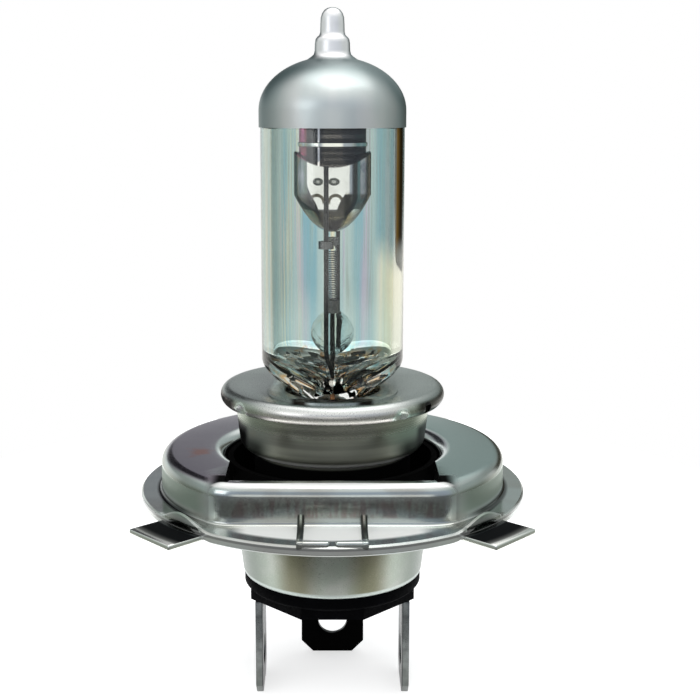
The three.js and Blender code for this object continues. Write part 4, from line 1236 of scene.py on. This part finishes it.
class BULB_OT_holder_cup(bpy.types.Operator):
    """Draw the holder cup and finish the clip that grips the pinch"""

    bl_idname = "bulb.holder_cup"
    bl_label = "Holder cup and clip"

    def execute(self, context):
        cap = context.scene.bulb_cap
        sheet = cap.cup_sheet
        lowest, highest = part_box("holder_cup")
        lip, top = highest.x, highest.z
        upper, lower = 10.85 * MM, 10.42 * MM
        neck, foot, floor = 8.8 * MM, lowest.z, 4.9 * MM
        fold = 1.5 * MM
        rows = [(neck - sheet, foot), (neck, foot), (neck, floor)]
        rows += arc(lower - fold, floor + fold, fold, -90, -10, 8)
        rows += [(10.5 * MM, 6.9 * MM), (10.64 * MM, 8.2 * MM), (10.78 * MM, 9.6 * MM)]
        rows += [(upper - 0.06 * MM, top - sheet - 0.5 * MM), (upper + 0.1 * MM, top - sheet - 0.08 * MM)]
        rows += [(lip, top - sheet), (lip, top)]
        rows += [(upper - sheet, top), (lower - sheet, floor + fold), (neck - sheet, floor + sheet)]
        piece = loops("holder_cup.visual", rows, sides=160, ends="joined")

        def greener_sides_and_fold_shade(tree, colour):
            """Greener at the sides, with painted shade where they fold in."""
            return tree.paint(
                colour,
                (tree.zone(wide=(5, 9.5)), (0.46, 0.52, 0.44)),
                (tree.product(tree.zone(wide=(6.0, 8.3), height=(8.3, 6.5)), 0.9), (0.03, 0.035, 0.03)),
                (tree.zone(wide=(8.9, 9.6), height=(8.9, 7.9)), (0.012, 0.014, 0.012)),
            )

        def below(tree):
            """Painted shadow, matt black, under the fold and at the left where the wall turns away into the
            window.
            """
            return tree.most(tree.zone(height=(4.9, 4.4)), tree.zone(x=(-9.0, -9.8), height=(8.3, 7.2)))

        def painted_highlight(tree):
            """A painted highlight: a dull pale line round the fold at the front."""
            return tree.product(tree.zone(height=(4.92, 5.02, 5.7, 5.3), y=(-5, -8)), 0.8)

        def rough(tree):
            """Duller towards the fold."""
            return tree.spread(tree.height(), 9.0 * MM, 6.2 * MM, 0.24, 0.5)

        stain = tuple(c * 0.62 for c in cap.cup)
        masks = (greener_sides_and_fold_shade, below, painted_highlight, rough)
        material = drawn_steel("brushed cup", cap.cup, stain, "round", 0.24, 0.2, *masks)
        finish_piece(piece, material, ["holder_cup"])
        dress("pinch_clip", spring_steel())
        return {"FINISHED"}


def body_outline(inset=0.0):
    """Distance from the axis of the ring's raised wall: a circle with a flat at the front."""
    body, flat, blend = FLANGE_RADIUS - 2.3 * MM, FLANGE_RADIUS * 0.7163, 1.4 * MM

    def radius(angle):
        front = flat / max(-math.sin(angle), 0.2)
        share = min(1.0, max(0.0, 0.5 + (front - body) / (2 * blend)))
        return mix(front, body, share) - blend * share * (1 - share) + inset

    return radius


# Angle and width of each lug
LUGS = ((46.5, 6.8 * MM), (-46.5, 6.8 * MM), (180, 8 * MM))

# Each hood over a lug's root: where it starts, its height at the rim and its half width in degrees
HOOD_START = 20 * MM
HOOD_RISE = 1.25 * MM
HOOD_HALF_ANGLE = 12


def hood_lift(angle, radius):
    """How far the flange is pressed up over the lugs' roots."""
    from_front = math.degrees(angle) + 90
    rim = min(1.0, max(0.0, (radius - HOOD_START) / (FLANGE_RADIUS - HOOD_START)))
    rim = rim * rim * (3 - 2 * rim)
    lift = 0.0
    for lug, _ in LUGS:
        away = abs((from_front - lug + 180) % 360 - 180)
        lift += HOOD_RISE * rim * math.cos(min(away / HOOD_HALF_ANGLE, 1) * math.pi / 2) ** 2
    return lift


class BULB_OT_focus_ring(bpy.types.Operator):
    """Stamp the focus ring with its flat, window, hoods, lugs and front beads"""

    bl_idname = "bulb.focus_ring"
    bl_label = "Focus ring"
    rib_spacing = 3.2 * MM

    def execute(self, context):
        cap = context.scene.bulb_cap
        sheet, fold, top = cap.ring_sheet, cap.fold, RING_TOP
        foot, mouth, mouth_fold, lip = 0.4 * MM, FLANGE_RADIUS * 0.5628, 1.2 * MM, 2.1 * MM
        inner_fold = fold - sheet

        def flange(share):
            wall = body_outline(foot)
            return lambda angle: mix(wall(angle), FLANGE_RADIUS, share)

        def lifted(height):
            return lambda angle, r: height + hood_lift(angle, r)

        roll = low("focus_ring").z

        rows = [(flange(share), lifted(0)) for share in (0.3, 0.5, 0.65, 0.8)]
        rows += [(FLANGE_RADIUS - 0.75 * MM, lifted(0)), (FLANGE_RADIUS - 0.62 * MM, lifted(roll))]
        rows += [(FLANGE_RADIUS - 0.15 * MM, lifted(roll)), (FLANGE_RADIUS, lifted(roll + 0.15 * MM))]
        rows += [(FLANGE_RADIUS, lifted(sheet - 0.2 * MM)), (FLANGE_RADIUS - 0.2 * MM, lifted(sheet))]
        for share in (0.9, 0.8, 0.7, 0.6, 0.5, 0.4, 0.3, 0.2, 0.1, 0.0):
            rows.append((flange(share), lifted(sheet)))
        rows += [(body_outline(foot * (1 - s)), sheet + foot * (1 - c)) for s, c in quarter(8, 1)]
        rows.append((body_outline(), mix(sheet + foot, top - fold, 0.5)))
        rows += [(body_outline(-fold * (1 - c)), top - fold * (1 - s)) for s, c in quarter(8)]
        rows.append((mouth + mouth_fold + 0.6 * MM, top))
        rows += [(mouth + mouth_fold * (1 - s), top - mouth_fold * (1 - c)) for s, c in quarter(8)]
        rows += [(mouth, lip), (mouth + sheet, lip), (mouth + sheet, top - mouth_fold)]
        rows.append((mouth + mouth_fold, top - sheet))
        for s, c in reversed(list(quarter(4))):
            rows.append((body_outline(-sheet - inner_fold * (1 - c)), top - fold + inner_fold * s))
        rows += [(body_outline(-sheet), foot), (body_outline(foot - sheet), 0)]
        piece = loops("focus_ring.visual", rows, sides=240, ends="joined")

        flat = FLANGE_RADIUS * 0.7163
        half, sill = FLANGE_RADIUS * 0.5163, -flat + fold + 0.25 * MM
        window = block("window", (-half, sill, lip - MM), (half, -5.4 * MM, top + MM))
        combine(piece, window, "DIFFERENCE")

        extras = []
        for angle, width in LUGS:
            lug = block(
                "lug",
                (-width / 2, -FLANGE_RADIUS - 3.9 * MM, -0.3 * MM),
                (width / 2, -FLANGE_RADIUS + 2.2 * MM, 0.27 * MM),
            )
            soften(lug, 0.16 * MM, 3, 40)
            extras.append(turn(lug, angle))
        soften(piece, 0.09 * MM, 2, 50)
        join(piece, *extras, *self.front_beads(flat, sheet))

        def rust_and_painted_light(tree, colour):
            """One rusty spot at the left, and a front wall darker, brown and streaked. The rest is painted
            light
            and shade: dark lugs and ribs, with pale crests on the ribs; mauve at the left of the top and
            teal-green at its right as painted reflections; darker flanks; dark creases by the lugs; pale mouth
            and lug edges as painted highlights; painted shade under the flange.
            """
            rust = self.spot(tree, (-14.7 * MM, -3.2 * MM, top), 1.9 * MM)
            # Mauve at the left of the top and teal-green at its right are painted reflections; the spot is
            # rust.
            colour = tree.paint(
                colour,
                (tree.zone(up=top, x=(-5, -12), height=(-0.5, 0)), (0.32, 0.29, 0.33)),
                (tree.product(rust, 0.7), (0.42, 0.13, 0.07)),
                (tree.zone(up=top, x=(5, 12), height=(-0.5, 0)), (0.34, 0.44, 0.42)),
            )
            smear = tree.spread(tree.noise(tree.upright_lines(0.012), 26, 3.0), 0.4, 0.62)
            browned = tree.blend(smear, (0.36, 0.39, 0.35), (0.27, 0.215, 0.2))
            blots = tree.spread(tree.noise(tree.place(), 620, 3.0, 0.6), 0.5, 0.68)
            hairs = tree.spread(tree.noise(tree.upright_lines(0.02), 190, 2.0), 0.5, 0.66)
            blots, hairs = tree.product(blots, 0.6), tree.product(hairs, 0.45)
            browned = tree.paint(browned, (blots, (0.13, 0.12, 0.11)), (hairs, (0.12, 0.13, 0.12)))
            front = tree.product(tree.zone(y=(-14.9, -15.2), height=(1.3, 1.7, 3.9, 2.9)), 0.85)
            off = tree.absolute(tree.math("SUBTRACT", tree.measure("wide"), self.rib_spacing))
            # Dark ribs with pale crests: painted shade and highlight.
            rib = tree.zone(y=(-15.35, -15.5, -20.5, -20.3), height=(0.8, 0.95, 2.0, 1.85))
            rib = tree.product(rib, tree.spread(off, 0.42 * MM, 0.38 * MM))
            crown = tree.product(tree.zone(height=(1.2, 1.7)), tree.spread(off, 0.16 * MM, 0.08 * MM))
            ribbed = tree.blend(crown, (0.07, 0.08, 0.07), (0.7, 0.75, 0.7))
            # Darker flanks: painted shade.
            flank = tree.zone(wide=(12.5, 14.5), height=(1.2, 1.8))
            flank = tree.product(flank, tree.zone(up=top, height=(-0.7, -1.6)))
            # Dark creases by the lugs: painted shade.
            crease = tree.zone(up=sheet, wide=(13.5, 16), height=(0.7, 0.3), away=(19.9, 19.5))
            lug = tree.zone(away=(20.9, 21.6), height=(0.6, 0.4))
            # Pale mouth and lug edges are painted highlights; shade is painted under the flange and on the
            # lugs' tops.
            return tree.paint(
                colour,
                (front, browned),
                (rib, ribbed),
                (flank, (0.34, 0.4, 0.35)),
                (tree.product(crease, 0.9), (0.02, 0.025, 0.022)),
                (tree.zone(up=top, away=(13.4, 12.9), height=(-1.3, -1.1)), (0.72, 0.77, 0.75)),
                (tree.product(lug, tree.zone(away=(21.5, 21.6))), (0.85, 0.87, 0.82)),
                (tree.zone(height=(-0.2, -0.4), away=(20.7, 20.9)), (0.25, 0.27, 0.25)),
                (tree.product(lug, tree.zone(height=(0.2, 0.26), away=(25.3, 23.9))), (0.014, 0.018, 0.02)),
            )

        def inside(tree):
            """Painted shadow, matt black: inside the wall, on the sides and corners of the window and on top
            of the lugs.
            """
            hollow = tree.zone(up=top, away=(18.6, 18.5), y=(-15.05, -15.0), height=(-0.6, -1.0))
            cut = tree.zone(up=top, wide=(12.2, 12.1), y=(-14.35, -14.3, -5.2, -5.3), height=(-0.08, -0.16))
            mirrored = {"X": tree.measure("wide"), "Y": tree.measure("y"), "Z": tree.measure("height")}
            mirrored = tree.add("CombineXYZ", mirrored).outputs["Vector"]
            corner = tree.spread(tree.apart((half, sill, top), mirrored), 0.7 * MM, 0.45 * MM)
            edge = tree.zone(y=(-11.4, -12.2, -14.5, -14.3), wide=(13.4, 11.6, 10.9, 11.0))
            lug = tree.product(tree.zone(away=(21.8, 22.3, 25.3, 24.6), height=(0.2, 0.26)), 0.8)
            return tree.most(hollow, cut, corner, edge, lug)

        def painted_highlight(tree):
            """Painted highlight in dull white: the fold above the front wall, a line round the rim and the
            flange at the ribs.
            """
            bright = tree.zone(up=top, y=(-14.0, -14.3), height=(-0.02, -0.08, -0.55, -0.35), wide=(13.5, 11))
            rim = tree.zone(away=(21.3, 21.45, 21.6, 21.53), height=(-0.25, -0.1, 0.75, 0.6))
            ribs = tree.zone(up=sheet, y=(-15.5, -15.8), away=(20.2, 19.4), height=(0.2, 0.1), wide=(11, 8.5))
            return tree.most(bright, tree.product(rim, 0.35), ribs)

        def rough(tree):
            """Duller on the flanks of the wall."""
            flank = tree.zone(up=sheet, wide=(11.5, 12.5), height=(0.1, 0.4))
            return tree.product(flank, tree.zone(up=top, height=(-1.0, -1.6)), 0.5)

        masks = (rust_and_painted_light, inside, painted_highlight, rough)
        material = drawn_steel("bright ring", cap.steel, cap.stain, "upright", 0.17, 0.04, *masks)
        finish_piece(piece, material, ["focus_ring"])
        return {"FINISHED"}

    def spot(self, tree, middle, reach):
        """1 at the middle of a blurred, ragged spot and 0 beyond its reach."""
        ragged = tree.spread(tree.noise(tree.place(), 700, 3.0), 0.3, 0.7, 0.6, 1.6)
        return tree.spread(tree.product(tree.apart(middle), ragged), reach, reach * 0.15)

    def front_beads(self, flat, sheet):
        """Two raised ribs from the wall to the rim, where each turns towards the other."""
        spacing, width, rise = self.rib_spacing, 0.7 * MM, 0.45 * MM
        edge = -FLANGE_RADIUS + 0.12 * MM
        crest = sheet + rise
        side_view = [
            (-flat + 0.2 * MM, sheet / 2),
            (-flat + 0.2 * MM, crest + 0.8 * MM),
            (-flat - 0.15 * MM, crest + 0.7 * MM),
            (-flat - 1.2 * MM, crest + 0.3 * MM),
            (-flat - 2.6 * MM, crest),
            (edge, crest),
            (edge, sheet / 2),
        ]
        made = []
        for side in (-1, 1):
            rib = moved(slab("rib", side_view, width), side * spacing)
            far, end = side * (spacing + width / 2), side * 0.25 * MM
            foot = block("rib_foot", (min(end, far), edge, sheet / 2), (max(end, far), edge + width, crest))
            soften(foot, 0.3 * MM, 4, 30)
            soften(rib, 0.16 * MM, 3, 30)
            combine(rib, foot, "UNION")
            made.append(rib)
        return made


class BULB_OT_base_shell(bpy.types.Operator):
    """Draw the base shell: a tapered skirt that steps out to a sleeve"""

    bl_idname = "bulb.base_shell"
    bl_label = "Base shell"

    def execute(self, context):
        cap = context.scene.bulb_cap
        lowest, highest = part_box("base_shell")
        sheet = cap.cup_sheet
        outer = [(10.12, -9.3), (10.2, -9.1), (11.1, -1.4), (11.2, -0.9), (11.7, 0.3), (11.8, 0.8)]
        rows = [(9.4 * MM, lowest.z), (10.0 * MM, lowest.z)]
        rows += [(radius * MM, height * MM) for radius, height in outer]
        within = highest.x - sheet
        rows += [(highest.x, highest.z), (within, highest.z), (within, 1.1 * MM), (10.2 * MM, -0.5 * MM)]
        piece = loops("base_shell.visual", rows, sides=160, ends="joined")

        def shaded(tree, colour):
            """Olive in two soft zones at the front, with a pale foot and greyer sides."""
            off = tree.absolute(tree.math("SUBTRACT", tree.measure("wide"), 3.9 * MM))
            olive = tree.product(tree.zone(y=(-7, -9)), tree.spread(off, 3.2 * MM, 0.4 * MM), 0.85)
            sides, foot = tree.zone(wide=(6, 9)), tree.zone(height=(-8.8, -9.0))
            coats = ((olive, (0.15, 0.145, 0.085)), (sides, (0.19, 0.22, 0.19)), (foot, (0.45, 0.5, 0.47)))
            return tree.paint(colour, *coats)

        def shadow_in_ring(tree):
            """Painted shadow, matt black, on the sleeve that stands inside the ring."""
            return tree.zone(height=(-0.1, 0.3))

        material = drawn_steel("pale shell", cap.shell, cap.stain, "upright", 0.3, 0.06, shaded, shadow_in_ring)
        finish_piece(piece, material, ["base_shell"])
        return {"FINISHED"}


# ---- base ----

# Distance from the axis and angle of each blade, and of its slot in the insulator
BLADE_PLACES = {
    "high_beam_terminal": (8.3 * MM, 90),
    "common_terminal": (8.3 * MM, -90),
    "low_beam_terminal": (8.5 * MM, 180),
}


class BULB_OT_insulator(bpy.types.Operator):
    """Mould the insulator with its eight-sided boss"""

    bl_idname = "bulb.insulator"
    bl_label = "Insulator"

    def execute(self, context):
        base = context.scene.bulb_base
        lowest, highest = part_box("insulator")
        radius, bottom = highest.x, lowest.z
        disc_bottom, disc_top = bottom + 1.2 * MM, bottom + 2.7 * MM
        rows = [(radius - 0.35 * MM, disc_bottom), (radius, disc_bottom + 0.35 * MM)]
        rows += [(radius, disc_top - 0.02 * MM), (radius - 0.3 * MM, disc_top - 0.02 * MM)]
        piece = loops("insulator.visual", rows, sides=128, ends="closed")
        half, corner = radius - 0.85 * MM, 3.4 * MM
        boss = block("boss", (-half, -half, bottom), (half, half, disc_bottom + 0.5 * MM))
        edit(boss)
        select(boss, "edges", upright)
        bpy.ops.mesh.bevel(offset=half - corner, segments=1, affect="EDGES")
        bpy.ops.object.mode_set(mode="OBJECT")
        combine(piece, boss, "UNION")
        half_slot, half_gap = 2.15 * MM, 0.55 * MM
        for distance, angle in BLADE_PLACES.values():
            near, far = -(distance + half_gap), -(distance - half_gap)
            slot = block("slot", (-half_slot, near, bottom - MM), (half_slot, far, disc_top + MM))
            combine(piece, turn(slot, angle), "DIFFERENCE")
        soften(piece, 0.12 * MM, 2, 30)
        material = moulded_plastic("black moulding", tuple(base.plastic))
        finish_piece(piece, material, ["insulator"])
        return {"FINISHED"}


def through_sheet(edge):
    return abs(edge.verts[0].co.y - edge.verts[1].co.y) > 0.1 * MM


class BULB_OT_terminals(bpy.types.Operator):
    """Cut the three blades"""

    bl_idname = "bulb.terminals"
    bl_label = "Terminals"

    def execute(self, context):
        base = context.scene.bulb_base

        def darker_low_and_shade_inside(tree, colour):
            """Darker towards the lower ends, and painted near-black shade on the faces that look in at the
            axis, strongest low down.
            """
            tips = tree.product(tree.zone(up=FLOOR, height=(9, 0)), 0.7)
            colour = tree.blend(tips, colour, (0.12, 0.13, 0.12))
            end = tree.spread(tree.height(), FLOOR + 8 * MM, FLOOR + 1.5 * MM, 0.35, 1.0)
            return tree.blend(tree.product(tree.zone(wide=(8.0, 7.94)), end), colour, (0.02, 0.02, 0.02))

        def back_blade_shadow(tree):
            """Painted shadow, matt black, on the front of the blade at the back."""
            return tree.zone(y=(5, 6, 8.25, 8.14))

        stain = tuple(c * 0.6 for c in base.plated)
        material = drawn_steel("plated blade", base.plated, stain, "round", 0.3, 0.2, darker_low_and_shade_inside, back_blade_shadow)
        widths = {"common_terminal": 8 * MM, "high_beam_terminal": 8 * MM, "low_beam_terminal": 7.6 * MM}
        for name, width in widths.items():
            distance, angle = BLADE_PLACES[name]
            lowest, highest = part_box(name)
            shoulder = low("insulator").z - 0.15 * MM
            near, far = -(distance + base.blade / 2), -(distance - base.blade / 2)
            piece = block(name + ".visual", (-width / 2, near, lowest.z), (width / 2, far, shoulder))
            edit(piece)
            foot = lowest.z + 0.1 * MM
            select(
                piece, "edges", lambda edge: max(v.co.z for v in edge.verts) < foot and through_sheet(edge)
            )
            bpy.ops.mesh.bevel(offset=1.4 * MM, segments=1, affect="EDGES")
            bpy.ops.object.mode_set(mode="OBJECT")
            half_neck = 2 * MM
            neck = block("neck", (-half_neck, near, shoulder - MM), (half_neck, far, highest.z))
            combine(piece, neck, "UNION")
            start()
            bpy.ops.mesh.primitive_cylinder_add(
                vertices=64,
                radius=base.hole,
                depth=4 * MM,
                location=(0, -distance, lowest.z + 4.1 * MM),
                rotation=(math.pi / 2, 0, 0),
            )
            settle()
            combine(piece, named("hole"), "DIFFERENCE")
            soften(piece, 0.1 * MM, 2, 30)
            turn(piece, angle)
            finish_piece(piece, material, [name])
        return {"FINISHED"}


# ---- stage ----

WHITE = (1.0, 1.0, 1.0)

# Colours of the room by height, from straight down at 0 to straight up at 1: in front, at the sides, behind
ROOM = (
    (
        (0.0, (0.16, 0.165, 0.16)),
        (0.42, (0.15, 0.155, 0.16)),
        (0.48, (0.42, 0.46, 0.54)),
        (0.72, (0.48, 0.54, 0.64)),
        (0.83, WHITE),
        (0.97, WHITE),
    ),
    (
        (0.0, (0.24, 0.25, 0.22)),
        (0.4, (0.24, 0.26, 0.23)),
        (0.5, (0.4, 0.44, 0.42)),
        (0.7, (0.42, 0.47, 0.46)),
        (0.92, WHITE),
        (1.0, WHITE),
    ),
    (
        (0.0, (0.8, 0.8, 0.76)),
        (0.44, (1.0, 0.99, 0.95)),
        (0.56, (0.92, 0.96, 0.96)),
        (0.62, (0.4, 0.45, 0.44)),
        (0.72, (0.42, 0.46, 0.46)),
        (0.79, WHITE),
    ),
)


class BULB_OT_stage(bpy.types.Operator):
    """Set the table, the room's light, the lamps and the camera"""

    bl_idname = "bulb.stage"
    bl_label = "Stage"

    def execute(self, context):
        stage = context.scene.bulb_stage
        start()
        place = (0, 0.7 * stage.table_radius, FLOOR - 0.02 * MM)
        bpy.ops.mesh.primitive_circle_add(
            vertices=96, radius=stage.table_radius, fill_type="NGON", location=place
        )
        table = named("table")
        table.data.materials.append(self.table_top(stage))
        self.room(context.scene)
        self.lamp("key lamp", (0.04, 0.03, 0.42), 0.42, stage.key)
        self.lamp("fill lamp", (-0.28, -0.3, 0.14), 0.2, stage.fill)
        self.camera(context.scene, stage)
        return {"FINISHED"}

    def table_top(self, stage):
        """White to the camera and in reflections, but for the object's shadow."""
        tree = Tree("table top")
        tree.set(Base_Color=stage.floor, Roughness=0.9, Specular_IOR_Level=0.0)
        rays = tree.add("LightPath").outputs
        seen = tree.math("ADD", rays["Is Camera Ray"], rays["Is Transmission Ray"])
        seen = tree.math("MINIMUM", tree.math("ADD", seen, rays["Is Glossy Ray"]), 1.0)
        rim = tree.spread(tree.away(), 0.6 * stage.table_radius, 0.95 * stage.table_radius, stage.glow, 1.0)
        tree.set(Emission_Color=(1, 1, 1), Emission_Strength=tree.product(seen, rim))
        return tree.material

    def room(self, scene):
        """Plain white to the camera and through glass; in reflections, a white backdrop in a real room.

        Low behind the object it is white. Above that are the room's grey walls and a white ceiling,
        with a dark doorway at the back right and a dark shelf at the back left. The room is dim below
        the camera, which stands before a white card."""
        scene.world = scene.world or bpy.data.worlds.new("room")
        tree = Tree("room", scene.world)
        tree.nodes.clear()
        split = tree.add("SeparateXYZ", {"Vector": tree.direction()}).outputs
        x, y, z = split["X"], split["Y"], split["Z"]
        rise = tree.add("MapRange", {"Value": z, "From Min": -1.0, "From Max": 1.0}).outputs["Result"]
        front, sides, behind = (tree.ramp(rise, stops) for stops in ROOM)
        colour = tree.blend(tree.spread(y, -0.75, -0.25), front, sides)
        colour = tree.blend(tree.spread(y, 0.35, 0.75), colour, behind)
        values = {"x": x, "y": y, "z": z, "wide": tree.absolute(x)}
        doorway = {"x": (0.04, 0.18, 0.8, 0.65), "z": (-0.13, -0.04, 0.26, 0.14), "y": (0.0, 0.2)}
        colour = tree.blend(tree.bounded(values, doorway), colour, (0.05, 0.045, 0.03))
        corner = tree.bounded(values, {"x": (-0.02, -0.12, -0.75, -0.6), "z": (0.12, 0.2), "y": (0.3, 0.45)})
        colour = tree.blend(tree.product(corner, 0.6), colour, (0.2, 0.18, 0.22))
        shelf = {"x": (-0.16, -0.22, -0.62, -0.5), "z": (0.14, 0.22, 0.76, 0.66), "y": (0.3, 0.5)}
        colour = tree.blend(tree.bounded(values, shelf), colour, (0.02, 0.02, 0.025))
        card = {"wide": (0.4, 0.25), "z": (-0.16, -0.1, 0.12, 0.04), "y": (-0.6, -0.8)}
        colour = tree.blend(tree.bounded(values, card), colour, (1.15, 1.15, 1.15))
        rays = tree.add("LightPath").outputs
        mirrored = tree.add("Math", {0: rays["Glossy Depth"], 1: 1.0}, operation="MINIMUM").outputs["Value"]
        colour = tree.blend(mirrored, (1, 1, 1), colour)
        colour = tree.blend(rays["Is Diffuse Ray"], colour, (0.52, 0.53, 0.54))
        shaded = tree.add("Background", {"Color": colour})
        output = tree.add("OutputWorld")
        tree.links.new(shaded.outputs[0], output.inputs[0])

    def lamp(self, name, place, size, power):
        start()
        bpy.ops.object.light_add(type="AREA", location=place)
        lamp = bpy.context.object
        lamp.name = name
        lamp.data.size = size
        lamp.data.energy = power
        aim = Vector((0, 0, 0.015)) - Vector(place)
        lamp.rotation_euler = aim.to_track_quat("-Z", "Y").to_euler()

    def camera(self, scene, stage):
        start()
        place = (0, -stage.distance, stage.height)
        bpy.ops.object.camera_add(location=place, rotation=(math.pi / 2 - stage.pitch, 0, 0))
        camera = bpy.context.object
        camera.data.sensor_width = 36
        camera.data.lens = stage.lens
        camera.data.shift_x = stage.shift_x
        camera.data.shift_y = stage.shift_y
        camera.data.clip_start = MM
        scene.camera = camera
        scene.view_settings.view_transform = "Standard"


# ---- add-on ----

OPERATORS = (
    BULB_OT_stage,
    BULB_OT_glass_envelope,
    BULB_OT_tip_coating,
    BULB_OT_leads,
    BULB_OT_lead_bead,
    BULB_OT_filaments,
    BULB_OT_beam_shield,
    BULB_OT_joints,
    BULB_OT_retainer_plate,
    BULB_OT_holder_cup,
    BULB_OT_focus_ring,
    BULB_OT_base_shell,
    BULB_OT_insulator,
    BULB_OT_terminals,
)

SETTINGS = {
    "bulb_glass": GlassSettings,
    "bulb_inside": InsideSettings,
    "bulb_cap": CapSettings,
    "bulb_base": BaseSettings,
    "bulb_stage": StageSettings,
}


class BULB_PT_pieces(bpy.types.Panel):
    """Buttons that build the bulb's pieces, and their settings"""

    bl_idname = "BULB_PT_pieces"
    bl_label = "Headlight bulb"
    bl_space_type = "VIEW_3D"
    bl_region_type = "UI"
    bl_category = "Bulb"

    def draw(self, context):
        for operator in OPERATORS:
            self.layout.operator(operator.bl_idname)
        for name, group in SETTINGS.items():
            box = self.layout.box()
            box.label(text=group.__doc__)
            for field in group.__annotations__:
                box.prop(getattr(context.scene, name), field)


CLASSES = (*SETTINGS.values(), *OPERATORS, BULB_PT_pieces)


def register():
    for made in CLASSES:
        bpy.utils.register_class(made)
    for name, group in SETTINGS.items():
        setattr(bpy.types.Scene, name, PointerProperty(type=group))


def unregister():
    for name in SETTINGS:
        delattr(bpy.types.Scene, name)
    for made in reversed(CLASSES):
        bpy.utils.unregister_class(made)


def main():
    register()
    for operator in OPERATORS:
        group, name = operator.bl_idname.split(".")
        getattr(getattr(bpy.ops, group), name)()


if __name__ == "__main__":
    main()
